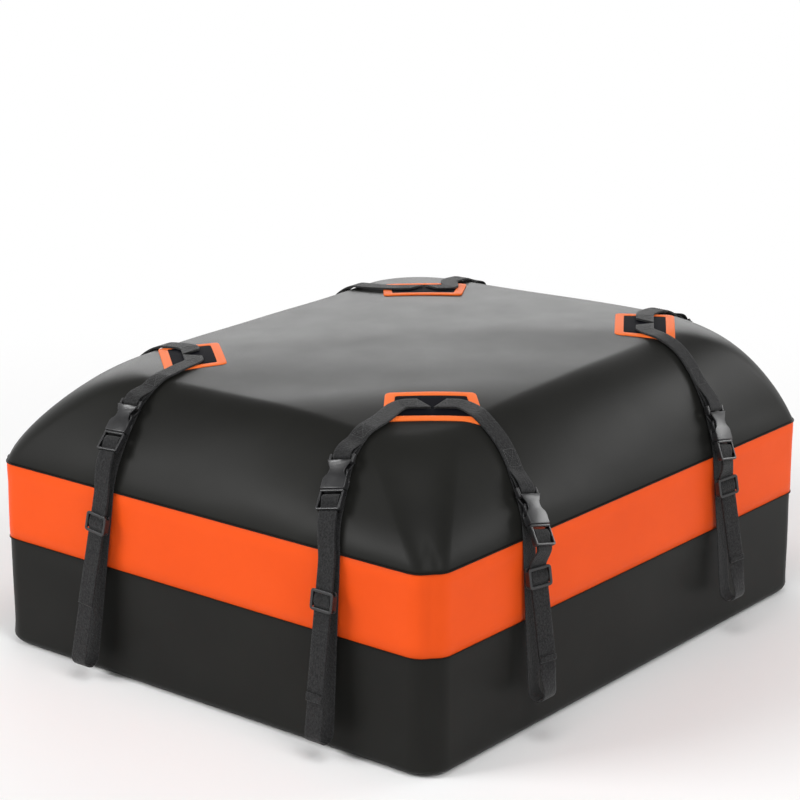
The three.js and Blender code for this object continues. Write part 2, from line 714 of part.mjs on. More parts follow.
// The buckle's socket: a loop bar with ears, and a waisted shell open at its mouth.
function socketGeometry() {
  const top = -SOCKET_BAR_HALF_HEIGHT;
  const slotEnd = SOCKET_BAR_HALF_HEIGHT + SOCKET_SLOT_LENGTH;
  const shape = new THREE.Shape();
  const mouth = SOCKET_HALF_WIDTH - 1;
  shape.moveTo(-SOCKET_HALF_WIDTH, top + 2);
  shape.lineTo(-SOCKET_HALF_WIDTH + 2, top);
  shape.lineTo(SOCKET_HALF_WIDTH - 2, top);
  shape.lineTo(SOCKET_HALF_WIDTH, top + 2);
  shape.lineTo(SOCKET_HALF_WIDTH, slotEnd);
  shape.quadraticCurveTo(
    SOCKET_WAIST_HALF_WIDTH, slotEnd + 2, SOCKET_WAIST_HALF_WIDTH, SOCKET_WAIST_START);
  shape.lineTo(SOCKET_WAIST_HALF_WIDTH - 1, SOCKET_WAIST_END);
  shape.lineTo(mouth, SOCKET_WAIST_END + 6);
  shape.lineTo(mouth, SOCKET_LENGTH);
  shape.lineTo(-mouth, SOCKET_LENGTH);
  shape.lineTo(-mouth, SOCKET_WAIST_END + 6);
  shape.lineTo(-SOCKET_WAIST_HALF_WIDTH + 1, SOCKET_WAIST_END);
  shape.lineTo(-SOCKET_WAIST_HALF_WIDTH, SOCKET_WAIST_START);
  shape.quadraticCurveTo(
    -SOCKET_WAIST_HALF_WIDTH, slotEnd + 2, -SOCKET_HALF_WIDTH, slotEnd);
  const shell = plateSolid(shape, -SOCKET_HALF_THICKNESS, SOCKET_HALF_THICKNESS, 4);
  const far = 2 * SOCKET_HALF_WIDTH;
  const slot = boxSolid(
    [-SLOT_HALF_WIDTH, SOCKET_BAR_HALF_HEIGHT, -far], [SLOT_HALF_WIDTH, slotEnd, far]);
  const channel = boxSolid(
    [-CHANNEL_HALF_WIDTH, SOCKET_LENGTH - CHANNEL_DEPTH, -CHANNEL_HALF_THICKNESS],
    [CHANNEL_HALF_WIDTH, SOCKET_LENGTH + 1, CHANNEL_HALF_THICKNESS]);
  let socket = shell.subtract(slot).subtract(channel);
  for (const sign of [-1, 1]) {
    const levels = (half) => [sign * half, sign * far].sort((a, b) => a - b);
    const [earLow, earHigh] = levels(EAR_HALF_THICKNESS);
    const [barLow, barHigh] = levels(SOCKET_BAR_HALF_THICKNESS);
    socket = socket.subtract(boxSolid([-far, -far, earLow], [far, slotEnd, earHigh]));
    socket = socket.subtract(boxSolid(
      [-SLOT_HALF_WIDTH, -far, barLow], [SLOT_HALF_WIDTH, SOCKET_BAR_HALF_HEIGHT, barHigh]));
  }
  return toGeometry(socket);
}

// The plug: a ladder-lock frame with two prongs and a guide that enter the socket.
function plugGeometry() {
  const half = PLUG_HALF_WIDTH;
  const outline = new THREE.Shape();
  outline.moveTo(-half, PLUG_START);
  outline.lineTo(half, PLUG_START);
  outline.lineTo(half, PLUG_END - 3);
  outline.lineTo(half - 3, PLUG_END);
  outline.lineTo(-half + 3, PLUG_END);
  outline.lineTo(-half, PLUG_END - 3);
  const frame = plateSolid(outline, -PLUG_HALF_THICKNESS, PLUG_HALF_THICKNESS);
  const far = 2 * half;
  const lowerBarStart = PLUG_END - PLUG_LOWER_BAR;
  const collarEnd = PLUG_START + PLUG_COLLAR;
  const window = boxSolid([-SLOT_HALF_WIDTH, collarEnd, -far], [SLOT_HALF_WIDTH, PLUG_END, far]);
  const barHalf = PLUG_BAR_HALF_THICKNESS;
  const bar = boxSolid([-half, PLUG_BAR_START, -barHalf], [half, PLUG_BAR_END, barHalf]);
  const tailFront = RUN_DEPTH + TAIL_STEP + WEB_THICKNESS / 2 + SLIDING_CLEARANCE;
  const lowerBar = boxSolid(
    [-half + 3, lowerBarStart, tailFront], [half - 3, PLUG_END, PLUG_HALF_THICKNESS]);
  const collar = boxSolid(
    [-half + 1, PLUG_START, -PLUG_COLLAR_HALF_THICKNESS],
    [half - 1, collarEnd, PLUG_COLLAR_HALF_THICKNESS]);
  const reach = CHANNEL_HALF_THICKNESS - SLIDING_CLEARANCE;
  const pieces = [frame.subtract(window), bar, lowerBar, collar];
  for (const sign of [-1, 1]) {
    const edges = [
      sign * (CHANNEL_HALF_WIDTH - SLIDING_CLEARANCE),
      sign * (CHANNEL_HALF_WIDTH - SLIDING_CLEARANCE - PRONG_WIDTH),
    ].sort((a, b) => a - b);
    pieces.push(boxSolid(
      [edges[0], PLUG_START - PRONG_LENGTH, -reach], [edges[1], collarEnd, reach]));
  }
  pieces.push(boxSolid(
    [-GUIDE_WIDTH / 2, PLUG_START - GUIDE_LENGTH, -reach], [GUIDE_WIDTH / 2, collarEnd, reach]));
  return toGeometry(joined(...pieces));
}

// The slider: a rounded front frame over both layers of webbing and a bar behind them.
function glideGeometry() {
  const roundedBox = (halfWidth, halfHeight, radius) => {
    const shape = new THREE.Shape();
    shape.moveTo(-halfWidth + radius, -halfHeight);
    shape.lineTo(halfWidth - radius, -halfHeight);
    shape.quadraticCurveTo(halfWidth, -halfHeight, halfWidth, -halfHeight + radius);
    shape.lineTo(halfWidth, halfHeight - radius);
    shape.quadraticCurveTo(halfWidth, halfHeight, halfWidth - radius, halfHeight);
    shape.lineTo(-halfWidth + radius, halfHeight);
    shape.quadraticCurveTo(-halfWidth, halfHeight, -halfWidth, halfHeight - radius);
    shape.lineTo(-halfWidth, -halfHeight + radius);
    shape.quadraticCurveTo(-halfWidth, -halfHeight, -halfWidth + radius, -halfHeight);
    return shape;
  };
  const front = WEB_THICKNESS / 2 + TAIL_STEP + SLIDING_CLEARANCE;
  const back = -WEB_THICKNESS / 2 - SLIDING_CLEARANCE;
  const outline = roundedBox(GLIDE_HALF_WIDTH, GLIDE_HALF_HEIGHT, GLIDE_CORNER_RADIUS);
  const window = roundedBox(SLOT_HALF_WIDTH, GLIDE_HALF_HEIGHT - GLIDE_BAR, 1.5);
  const ring = roundedBox(GLIDE_HALF_WIDTH, GLIDE_HALF_HEIGHT, GLIDE_CORNER_RADIUS);
  ring.holes.push(window);
  const frontRing = plateSolid(ring, front, front + GLIDE_BAR_THICKNESS, 2);
  const block = plateSolid(outline, back - GLIDE_BAR_THICKNESS, front + 1, 2);
  const passage = boxSolid(
    [-SLOT_HALF_WIDTH, -2 * GLIDE_HALF_HEIGHT, back - 2 * GLIDE_BAR_THICKNESS],
    [SLOT_HALF_WIDTH, 2 * GLIDE_HALF_HEIGHT, front]);
  const upperPart = boxSolid(
    [-SLOT_HALF_WIDTH, -GLIDE_HALF_HEIGHT + GLIDE_BAR, front - 1],
    [SLOT_HALF_WIDTH, GLIDE_HALF_HEIGHT - GLIDE_BAR, front + 2]);
  const rails = block.subtract(passage).subtract(upperPart);
  const centreBar = boxSolid(
    [-GLIDE_HALF_WIDTH + 1, -GLIDE_CENTRE_BAR / 2, back - GLIDE_BAR_THICKNESS],
    [GLIDE_HALF_WIDTH - 1, GLIDE_CENTRE_BAR / 2, back]);
  return toGeometry(joined(frontRing, rails, centreBar));
}

// A route with its places along the wall measured from the wall's middle, moved by a shift.
function laidRoute(side, route, shift) {
  const half = side === "right" || side === "left" ? HALF_LENGTH : HALF_WIDTH;
  const along = (inFromCorner) => route.corner * (half - inFromCorner) + shift;
  return {
    ...route,
    plan: route.plan.map(([inwards, inFromCorner]) => [inwards, along(inFromCorner)]),
    knee: [along(route.knee[0]), route.knee[1]],
    foot: [along(route.foot[0]), route.foot[1]],
  };
}

// One strap with its webbing, buckle and slider.
function addStrap(side, route) {
  const axes = sideAxes(side);
  const foot = footLoop(axes, route);
  const buckle = buckleFrame(axes, route);
  const run = outerRun(axes, route, buckle, foot);
  const label = `${side}_${route.number}`;
  addPart(`fixed_strap_${label}`, fixedWebbing(axes, route, buckle, run), "webbing");
  addPart(`loop_strap_${label}`, freeWebbing(axes, route, buckle, run), "webbing");
  addPart(`buckle_socket_${label}`, socketGeometry(), "plastic", buckle.matrix);
  addPart(`buckle_plug_${label}`, plugGeometry(), "plastic", buckle.matrix);
  const glide = new THREE.Matrix4().makeBasis(run.across, run.down, run.face);
  glide.setPosition(run.at(route.slider));
  addPart(`strap_slider_${label}`, glideGeometry(), "plastic", glide);
}

// The zip: tape with its closed chain, a slider with its pull, and the flap over them.
// All are drawn with X along the wall, Y up from the chain and Z outwards from the wall.
function addZip() {
  const axes = sideAxes("rear");
  const basis = new THREE.Matrix4().makeBasis(axes.along, axes.up, axes.out);
  const place = basis.clone().setPosition(axes.point(0, 0, ZIP_HEIGHT));
  const halfLength = ZIP_LENGTH / 2;
  const tapeFace = SEAT_GAP + SKIN_THICKNESS;
  const chainFace = tapeFace + CHAIN_THICKNESS;
  const tape = boxSolid(
    [-halfLength, -TAPE_HEIGHT / 2, SEAT_GAP], [halfLength, TAPE_HEIGHT / 2, tapeFace]);
  const chain = boxSolid(
    [-halfLength, -CHAIN_HEIGHT / 2, SEAT_GAP], [halfLength, CHAIN_HEIGHT / 2, chainFace]);
  addPart("zip_tape", toGeometry(tape.add(chain)), "zip", place);

  const grip = CHAIN_HEIGHT / 2 + SLIDING_CLEARANCE;
  const sliderFace = chainFace + SEAT_GAP + SLIDER_WALL;
  const sliderBack = tapeFace + SEAT_GAP;
  const rest = halfLength - SLIDER_LENGTH;
  const pullHole = (PULL_PIN / 2) * Math.SQRT2 + PULL_PIN_CLEARANCE;
  const eye = pullHole + PULL_EYE_WALL;
  const pinHeight = -SLIDER_HEIGHT / 2 + PULL_PIN;
  const pinDepth = sliderFace + SEAT_GAP + eye;
  const cheek = PULL_WIDTH / 2 + SEAT_GAP;
  const body = boxSolid(
    [-SLIDER_LENGTH / 2, -SLIDER_HEIGHT / 2, sliderBack],
    [SLIDER_LENGTH / 2, SLIDER_HEIGHT / 2, sliderFace]);
  const groove = boxSolid(
    [-SLIDER_LENGTH, -grip, 0], [SLIDER_LENGTH, grip, chainFace + SEAT_GAP]);
  const pin = boxSolid(
    [-cheek - 1, pinHeight - PULL_PIN / 2, pinDepth - PULL_PIN / 2],
    [cheek + 1, pinHeight + PULL_PIN / 2, pinDepth + PULL_PIN / 2]);
  const pieces = [body.subtract(groove), pin];
  for (const sign of [-1, 1]) {
    const edges = [sign * cheek, sign * (cheek + SLIDER_WALL)].sort((a, b) => a - b);
    pieces.push(boxSolid(
      [edges[0], pinHeight - PULL_PIN, sliderFace - 1],
      [edges[1], pinHeight + PULL_PIN, pinDepth + PULL_PIN]));
  }
  const shifted = place.clone().multiply(new THREE.Matrix4().makeTranslation(rest, 0, 0));
  addPart("zip_slider", toGeometry(joined(...pieces)), "zip", shifted);

  const pull = new THREE.Shape();
  pull.moveTo(eye, 0);
  pull.absarc(0, 0, eye, 0, Math.PI, false);
  pull.lineTo(-PULL_THICKNESS / 2, -PULL_LENGTH);
  pull.lineTo(PULL_THICKNESS / 2, -PULL_LENGTH);
  const hole = new THREE.Path();
  hole.absarc(0, 0, pullHole, 0, 2 * Math.PI, false);
  pull.holes.push(hole);
  const plate = plateSolid(pull, -PULL_WIDTH / 2, PULL_WIDTH / 2, 8);
  const turned = plate.rotate([0, 90, 0]);
  const pullPlace = shifted.clone();
  pullPlace.multiply(new THREE.Matrix4().makeTranslation(0, pinHeight, pinDepth));
  addPart("zip_pull", toGeometry(turned), "zip", pullPlace);

  const flapFace = sliderFace + SLIDING_CLEARANCE;
  const flapOutside = flapFace + SKIN_THICKNESS;
  const flapEdge = -CHAIN_HEIGHT / 2;
  const hemBottom = TAPE_HEIGHT / 2 + SEAT_GAP;
  const outline = [
    [SEAT_GAP, hemBottom],
    [SEAT_GAP, hemBottom + FLAP_HEM],
    [tapeFace, hemBottom + FLAP_HEM],
    [tapeFace + SEAT_GAP + SKIN_THICKNESS, hemBottom],
    [flapOutside, flapEdge + FLAP_DROP],
    [flapOutside, flapEdge],
    [flapFace, flapEdge],
    [flapFace, flapEdge + FLAP_DROP],
    [tapeFace + SEAT_GAP, hemBottom - SKIN_THICKNESS],
    [tapeFace + SEAT_GAP, hemBottom],
  ];
  const flap = new THREE.Shape(outline.map(([z, y]) => new THREE.Vector2(z, y)));
  const flapHalf = halfLength + FLAP_OVERHANG;
  const flapSolid = plateSolid(flap, -flapHalf, flapHalf).rotate([0, -90, 0]);
  addPart("rain_flap", toGeometry(flapSolid), "tarpaulin", place);
}

const body = bodyGeometry();
addPart("bag_body", body, "tarpaulin");
addPart("coloured_band", bandGeometry(), "orange");
addPatches(toSolid(body));
for (const route of ROUTES) {
  const twin = OPPOSITE[route.side];
  addStrap(route.side, laidRoute(route.side, route, 0));
  addStrap(twin, laidRoute(twin, route, route.twinShift));
}
addZip();

export default bag;
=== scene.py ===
"""A soft roof cargo bag, packed full: fine surfaces, webbing, buckles and materials round its solids.

All shapes are worked out in millimetres in the bag's own frame (X across, Y along, Z up, origin at the
middle of the base) and become metres when a mesh is made.
"""

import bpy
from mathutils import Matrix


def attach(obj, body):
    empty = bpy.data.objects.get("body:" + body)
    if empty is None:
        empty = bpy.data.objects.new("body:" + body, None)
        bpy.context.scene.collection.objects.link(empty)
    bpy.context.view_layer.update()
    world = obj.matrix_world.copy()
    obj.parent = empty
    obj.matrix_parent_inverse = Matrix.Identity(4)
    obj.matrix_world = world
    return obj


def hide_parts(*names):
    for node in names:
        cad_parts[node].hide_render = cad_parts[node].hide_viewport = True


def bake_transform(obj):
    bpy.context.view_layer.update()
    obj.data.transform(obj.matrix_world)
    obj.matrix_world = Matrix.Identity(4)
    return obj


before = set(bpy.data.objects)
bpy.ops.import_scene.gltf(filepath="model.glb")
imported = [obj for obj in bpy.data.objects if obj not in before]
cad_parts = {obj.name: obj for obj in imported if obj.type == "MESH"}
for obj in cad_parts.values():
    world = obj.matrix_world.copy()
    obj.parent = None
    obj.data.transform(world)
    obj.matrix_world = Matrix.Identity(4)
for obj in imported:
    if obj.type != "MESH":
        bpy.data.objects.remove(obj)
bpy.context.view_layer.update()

import math
import bpy
import numpy as np
from mathutils import Vector

MM = 0.001
UP = np.array([0.0, 0.0, 1.0])

# The bag body, as in the part.
HALF_WIDTH, HALF_LENGTH = 450.0, 520.0
WALL_CORNER_RADIUS, RIM_CORNER_RADIUS = 46.0, 115.0
BASE_TUCK, BASE_ROUND = 18.0, 16.0
SHOULDER_RISE, SHOULDER_RUN = 165.0, 135.0
CROWN_RISE = 14.0
LOAD_RISE_RIGHT, LOAD_RISE_REAR, LOAD_BLEND_HEIGHT = 5.0, 14.0, 138.0
CORNER_SAG, SAG_START, SAG_END = 24.0, 0.4, 0.85
BAND_BOTTOM, BAND_TOP = 184.0, 312.0
RIM_HEIGHT = BAND_TOP + SHOULDER_RISE

# The patches: name, middle in plan, turn in degrees.
PATCHES = {"near": (253, -268, 41), "right": (268, 292, 57),
           "far": (-192, 277, 36), "left": (-231, -281, 41)}
PATCH_INNER, PATCH_OUTER, PATCH_DEPTH, PATCH_BORDER = 138.0, 152.0, 100.0, 15.0

# The webbing and its hardware.
WEB_WIDTH, WEB_THICKNESS = 30.0, 1.6
LEG_OFFSET = 3.0
PLY_OFFSET = LEG_OFFSET + WEB_THICKNESS
LOOP_STANDOFF, LOOP_RADIUS, RUN_CLEARANCE = 18.0, 15.0, 12.0
BUCKLE_STANDOFF = 12.0
PLUG_START, PLUG_END = 57.3, 90.0
BAR_START, BAR_END = 66.3, 71.3
SOCKET_BAR, SOCKET_WRAP, WINDOW_MIDDLE = 2.5, 3.6, 78.4
STITCHED_END, STITCHED_RIM, BLEND_RISE = (20, 44), (66, 36), 60
RUN_DEPTH = -2.9
TAIL_STEP = 2.4
SLIDER_TRAVEL = {"front": 120, "rear": 120, "right": 100, "left": 100}
SLIDER_RISE = {"front": 40, "rear": 40, "right": 0, "left": 0}
SLIDER_HALF = 16.0
FOLD_RADIUS, FOLD_LENGTH = 0.95, 12.0
ROUTES = {
    "front_1": dict(plan=[(162, 226), (125, 226), (82, 228)], lean=14, knee=(271, 58), foot=(269, 27),
                    slider=244, tail=94, turn=0),
    "front_2": dict(plan=[(179, -198), (116, -194), (78, -199)], lean=3, knee=(-188, 58), foot=(-219, 23),
                    slider=262, tail=129, turn=0),
    "right_1": dict(plan=[(112, -248), (66, -252), (30, -270)], lean=-14, knee=(-293, 20),
                    foot=(-296, 66), slider=256, tail=130, turn=-16),
    "right_2": dict(plan=[(130, 250), (92, 256), (58, 254), (28, 249)], lean=-10, knee=(235, 20),
                    foot=(246, 65), slider=262, tail=136, turn=-16),
}
TWINS = {"rear_1": ("front_1", -32), "rear_2": ("front_2", -38),
         "left_1": ("right_1", 0), "left_2": ("right_2", 0)}
SIDE_ANGLES = {"right": 0.0, "rear": 90.0, "left": 180.0, "front": -90.0}


def smooth_step(value):
    """3t^2 - 2t^3 with t held between 0 and 1."""
    t = np.clip(value, 0.0, 1.0)
    return t * t * (3 - 2 * t)


def shoulder_inset(share):
    """How far the shoulder has drawn in: run * (1 - (1 - share^1.2)^0.6)."""
    return SHOULDER_RUN * (1 - (1 - np.clip(share, 0, 1) ** 1.2) ** 0.6)


def shoulder_radius(inset):
    """The plan corner radius grows in step with the inset, from the wall's to the rim's."""
    return WALL_CORNER_RADIUS + (RIM_CORNER_RADIUS - WALL_CORNER_RADIUS) * inset / SHOULDER_RUN


def loaded_height(x, y, z):
    """z plus a plane's rise to the right and rear, less a smooth sag towards the near corner."""
    weight = smooth_step((z - BAND_TOP) / LOAD_BLEND_HEIGHT)
    across, along = x / HALF_WIDTH, y / HALF_LENGTH
    sag = smooth_step(((across - along) / 2 - SAG_START) / (SAG_END - SAG_START))
    return z + weight * (LOAD_RISE_RIGHT * across + LOAD_RISE_REAR * along - CORNER_SAG * sag)


def plan_distance(x, y, inset, radius):
    """Signed distance in plan from the rounded rectangle at an inset, below zero inside."""
    over_x = np.abs(x) - (HALF_WIDTH - inset - radius)
    over_y = np.abs(y) - (HALF_LENGTH - inset - radius)
    outside = np.hypot(np.maximum(over_x, 0), np.maximum(over_y, 0))
    return outside + np.minimum(np.maximum(over_x, over_y), 0) - radius


def halve(low, high, is_low, rounds=34):
    """Bisection on whole arrays between low and high."""
    for _ in range(rounds):
        middle = (low + high) / 2
        below = is_low(middle)
        low, high = np.where(below, middle, low), np.where(below, high, middle)
    return (low + high) / 2


def surface_height(x, y):
    """Height of the top or shoulder over points of the plan."""
    x, y = np.asarray(x, float), np.asarray(y, float)

    def inside(share):
        inset = shoulder_inset(share)
        return plan_distance(x, y, inset, shoulder_radius(inset)) < 0

    share = halve(np.zeros_like(x), np.ones_like(x), inside)
    scale = halve(np.full_like(x, 1e-6), np.ones_like(x),
                  lambda t: plan_distance(x / t, y / t, SHOULDER_RUN, RIM_CORNER_RADIUS) > 0)
    on_shoulder = plan_distance(x, y, SHOULDER_RUN, RIM_CORNER_RADIUS) > 0
    base = np.where(on_shoulder, BAND_TOP + SHOULDER_RISE * share,
                    RIM_HEIGHT + CROWN_RISE * (1 - scale ** 2))
    return loaded_height(x, y, base)


def surface_points(x, y, step=4.0):
    """Points on the top or shoulder, and the outward normals from the height's central differences."""
    z = surface_height(x, y)
    slope_x = (surface_height(x + step, y) - surface_height(x - step, y)) / (2 * step)
    slope_y = (surface_height(x, y + step) - surface_height(x, y - step)) / (2 * step)
    normals = unit(np.stack([-slope_x, -slope_y, np.ones_like(slope_x)], -1))
    return np.stack([x, y, z], -1), normals


def unit(vectors):
    """Each vector divided by its length."""
    length = np.linalg.norm(vectors, axis=-1, keepdims=True)
    return vectors / np.maximum(length, 1e-9)


def lengths(path):
    """The length along a path at each of its points."""
    return np.concatenate([[0], np.cumsum(np.linalg.norm(np.diff(path, axis=0), axis=1))])


def sampled(places, along, values):
    """Vectors read off at places along a path, in straight lines between its points."""
    return np.stack([np.interp(places, along, values[:, k]) for k in range(3)], -1)


def same(vector, count):
    """One vector for each of a number of points."""
    return np.broadcast_to(vector, (count, 3))


def soft_path(points, step, passes):
    """A curve through the points: Catmull-Rom by the length over their first three columns, laid out
    evenly, then eased by averaging each point with its neighbours."""
    chord = lengths(points[:, :3])
    slope = np.gradient(points, chord, axis=0)
    t = np.linspace(0, chord[-1], int(chord[-1] / step))
    k = np.clip(np.searchsorted(chord, t, side="right") - 1, 0, len(points) - 2)
    span = (chord[k + 1] - chord[k])[:, None]
    u = (t[:, None] - chord[k][:, None]) / span
    curve = ((2 * u ** 3 - 3 * u ** 2 + 1) * points[k] + (u ** 3 - 2 * u ** 2 + u) * span * slope[k]
             + (3 * u ** 2 - 2 * u ** 3) * points[k + 1] + (u ** 3 - u ** 2) * span * slope[k + 1])
    for _ in range(passes):
        curve[1:-1] = 0.25 * curve[:-2] + 0.5 * curve[1:-1] + 0.25 * curve[2:]
    return curve


def make_object(name, vertices, faces, uv=None, smooth=True):
    """A mesh object from millimetres, at the origin, with an optional UV pair for each vertex."""
    mesh = bpy.data.meshes.new(name)
    mesh.from_pydata((np.asarray(vertices) * MM).tolist(), [], [tuple(f) for f in faces])
    mesh.validate()
    if uv is not None:
        corner = np.zeros(len(mesh.loops), int)
        mesh.loops.foreach_get("vertex_index", corner)
        layer = mesh.uv_layers.new(name="UVMap")
        layer.data.foreach_set("uv", np.asarray(uv, np.float32)[corner].ravel())
    mesh.polygons.foreach_set("use_smooth", np.full(len(mesh.polygons), smooth))
    mesh.update()
    piece = bpy.data.objects.new(name, mesh)
    bpy.context.scene.collection.objects.link(piece)
    return piece


def grid_faces(rows, columns, closed=False):
    """Quads over rings of vertices, ring by ring; where closed, the last ring meets the first one."""
    r, c = np.arange(rows if closed else rows - 1)[:, None], np.arange(columns)
    here, after, beside = r * columns, (r + 1) % rows * columns, (c + 1) % columns
    return np.stack([here + c, here + beside, after + beside, after + c], -1).reshape(-1, 4).tolist()


def capped_faces(rows, columns):
    """The same quads, and one face over each end."""
    return grid_faces(rows, columns) + [list(range(columns))[::-1],
                                        list(range((rows - 1) * columns, rows * columns))]


def fan_faces(middle, ring, after):
    """Triangles from a middle vertex to each vertex of a ring and the one after it."""
    return np.stack([np.full(len(ring), middle), ring, after], -1).tolist()


def repeated(faces, size, count):
    """The faces of one small form, for a number of copies of its vertices."""
    return [[i + size * n for i in face] for n in range(count) for face in faces]


def rounded_rectangle(half_x, half_y, radius, steps=4):
    """Outline of a rounded rectangle, counterclockwise."""
    angle = np.linspace(0, math.pi / 2, steps + 1)
    points = []
    for corner, (sx, sy) in enumerate([(1, 1), (-1, 1), (-1, -1), (1, -1)]):
        turn = angle + corner * math.pi / 2
        points.append(np.stack([sx * (half_x - radius) + radius * np.cos(turn),
                                sy * (half_y - radius) + radius * np.sin(turn)], -1))
    return np.concatenate(points)


def sweep(path, across, face, profile, closed=False):
    """A flat profile carried along a path: vertex = path + a * across + b * face.

    Returns vertices, faces and UVs; U is the place across and V the length along, both in metres."""
    rows, columns = len(path), len(profile)
    a, b = profile[None, :, :1], profile[None, :, 1:]
    vertices = path[:, None] + a * across[:, None] + b * face[:, None]
    uv = np.stack([np.broadcast_to(profile[:, 0], (rows, columns)),
                   np.broadcast_to(lengths(path)[:, None], (rows, columns))], -1) * MM
    faces = grid_faces(rows, columns, True) if closed else capped_faces(rows, columns)
    return vertices.reshape(-1, 3), faces, uv.reshape(-1, 2)


def gather(parts):
    """Several (vertices, faces, uv) as one."""
    vertices, faces, uvs, start = [], [], [], 0
    for v, f, uv in parts:
        vertices.append(v)
        faces += [[i + start for i in face] for face in f]
        uvs.append(uv if uv is not None else np.zeros((len(v), 2)))
        start += len(v)
    return np.concatenate(vertices), faces, np.concatenate(uvs)


def strap_axes(path, normals):
    """The directions along and across a strap that lies square to the normals."""
    forward = unit(np.gradient(path, axis=0))
    return forward, unit(np.cross(normals, forward))


def webbing(path, normals, width=WEB_WIDTH, thickness=WEB_THICKNESS, cut=0.0):
    """A strap along a path, lying square to the normals, with rounded selvedges. A cut moves the
    first 60 mm along the strap by cut * place across + |cut| * half the width, so that the end slants."""
    forward, across = strap_axes(path, normals)
    profile = rounded_rectangle(width / 2, thickness / 2, thickness / 2 - 0.05, 3)
    inner = np.linspace(1, -1, 9)[1:-1] * (width / 2 - thickness)
    top = np.stack([inner, np.full(7, thickness / 2)], -1)
    profile = np.concatenate([profile[:4], top, profile[4:12], -top, profile[12:]])
    vertices, faces, uv = sweep(path, across, np.cross(forward, across), profile)
    fade = 1 - smooth_step(uv[:, 1] / 0.06)
    shift = (cut * uv[:, 0] / MM + abs(cut) * width / 2) * fade
    return vertices + shift[:, None] * np.repeat(forward, len(profile), axis=0), faces, uv


def on_strap(path, normals, s, a, lift):
    """Places on a strap: s along it, a across it, lifted off its middle plane; and the normals there."""
    along, across = lengths(path), strap_axes(path, normals)[1]
    face = unit(sampled(s, along, normals))
    return sampled(s, along, path) + sampled(s, along, across) * a[:, None] + face * lift, face


# The strap routes.
def side_axes(side):
    """A wall's distance from the middle, its outward direction and the direction along it."""
    angle = math.radians(SIDE_ANGLES[side])
    wall = HALF_WIDTH if side in ("right", "left") else HALF_LENGTH
    out = np.array([math.cos(angle), math.sin(angle), 0.0])
    along = np.array([-math.sin(angle), math.cos(angle), 0.0])
    return wall, out, along


def wall_point(side, beyond, along_wall, z):
    """A point beyond a wall, a way along it and up."""
    wall, out, along = side_axes(side)
    return out * (wall + beyond) + along * along_wall + UP * z


def inset_at(side, along_wall, z):
    """How far inwards from the wall the surface lies at heights on the shoulder, nought below it."""
    wall, out, along = side_axes(side)
    along_wall, z = np.broadcast_arrays(np.asarray(along_wall, float), np.asarray(z, float))

    def below(inwards):
        spot = out * (wall - inwards)[..., None] + along * along_wall[..., None]
        return surface_height(spot[..., 0], spot[..., 1]) < z

    inset = halve(np.zeros(z.shape), np.full(z.shape, wall / 2), below, 22)
    return np.where(z <= BAND_TOP, 0.0, inset)


def patch_frame(name):
    """A patch's middle, its direction to the bag's corner, and the direction of its long sides."""
    x, y, turn = PATCHES[name]
    angle = math.radians(turn)
    outward = np.array([math.copysign(math.sin(angle), x), math.copysign(math.cos(angle), y)])
    sideways = np.array([math.copysign(math.cos(angle), x), -math.copysign(math.sin(angle), y)])
    return np.array([x, y], float), outward, sideways


def route_of(label):
    """The side and the route of a strap, moved along the wall for the twins on the hidden sides."""
    base, shift = TWINS.get(label, (label, 0))
    route = dict(ROUTES[base])
    route["plan"] = [(inwards, s + shift) for inwards, s in route["plan"]]
    for key in ("knee", "foot"):
        route[key] = (route[key][0] + shift, route[key][1])
    return label.split("_")[0], route


def buckle_frame(side, route):
    """The middle of the socket's bar and the buckle's axes across, down and outwards, found as the
    smallest lean that keeps the buckle its standoff away from the shoulder and the wall."""
    wall, out, along = side_axes(side)
    inwards, s = route["plan"][-1]
    spot = out * (wall - inwards) + along * s
    point, normal = surface_points(np.array(spot[0]), np.array(spot[1]))
    origin = point + normal * BUCKLE_STANDOFF
    start_out, start_along = origin @ out - wall, origin @ along
    pitch = 0.0
    for _ in range(8):
        spare = BUCKLE_STANDOFF / math.cos(pitch)
        z = origin[2] - PLUG_END / 8 * np.arange(1, 9) * math.cos(pitch)
        needed = spare - inset_at(side, start_along, z) - start_out
        pitch = max(0.0, float(np.arctan2(needed, origin[2] - z).max()))
    lean = math.radians(route["lean"])
    down = (out * math.sin(pitch) * math.cos(lean) + along * math.sin(lean)
            - UP * math.cos(pitch) * math.cos(lean))
    face = out * math.cos(pitch) + UP * math.sin(pitch)
    across = unit(np.cross(down, face))
    return origin, across, down, face


def strap_frames(label):
    """Everything a strap's pieces share: side, route, buckle axes, knee, run direction, foot loop."""
    side, route = route_of(label)
    _, out, along = side_axes(side)
    origin, across, down, face = buckle_frame(side, route)
    foot_along, low = route["foot"]
    loop_z = low + LOOP_RADIUS + WEB_THICKNESS / 2
    outermost = LOOP_STANDOFF + 2 * LOOP_RADIUS
    slope = (outermost - RUN_CLEARANCE) / (BAND_TOP - loop_z)
    centre = wall_point(side, LOOP_STANDOFF + LOOP_RADIUS, foot_along, loop_z)
    knee_along, knee_drop = route["knee"]
    knee_z = (origin + down * PLUG_END + face * RUN_DEPTH)[2] - knee_drop
    knee = wall_point(side, RUN_CLEARANCE + slope * (BAND_TOP - knee_z), knee_along, knee_z)
    run = unit(wall_point(side, outermost, foot_along, loop_z) - knee)
    turn = math.radians(route["turn"])
    run_across = unit(np.cross(run, out * math.cos(turn) + along * math.sin(turn)))
    run_face = unit(np.cross(run_across, run))
    return dict(side=side, route=route, out=out, origin=origin, across=across, down=down, face=face,
                knee=knee, run=run, run_across=run_across, run_face=run_face, centre=centre,
                top=over_the_top(side, route))


def run_point(f, z):
    """The points of the outer run at one or more heights."""
    return f["knee"] + f["run"] * (np.expand_dims(z, -1) - f["knee"][2]) / f["run"][2]


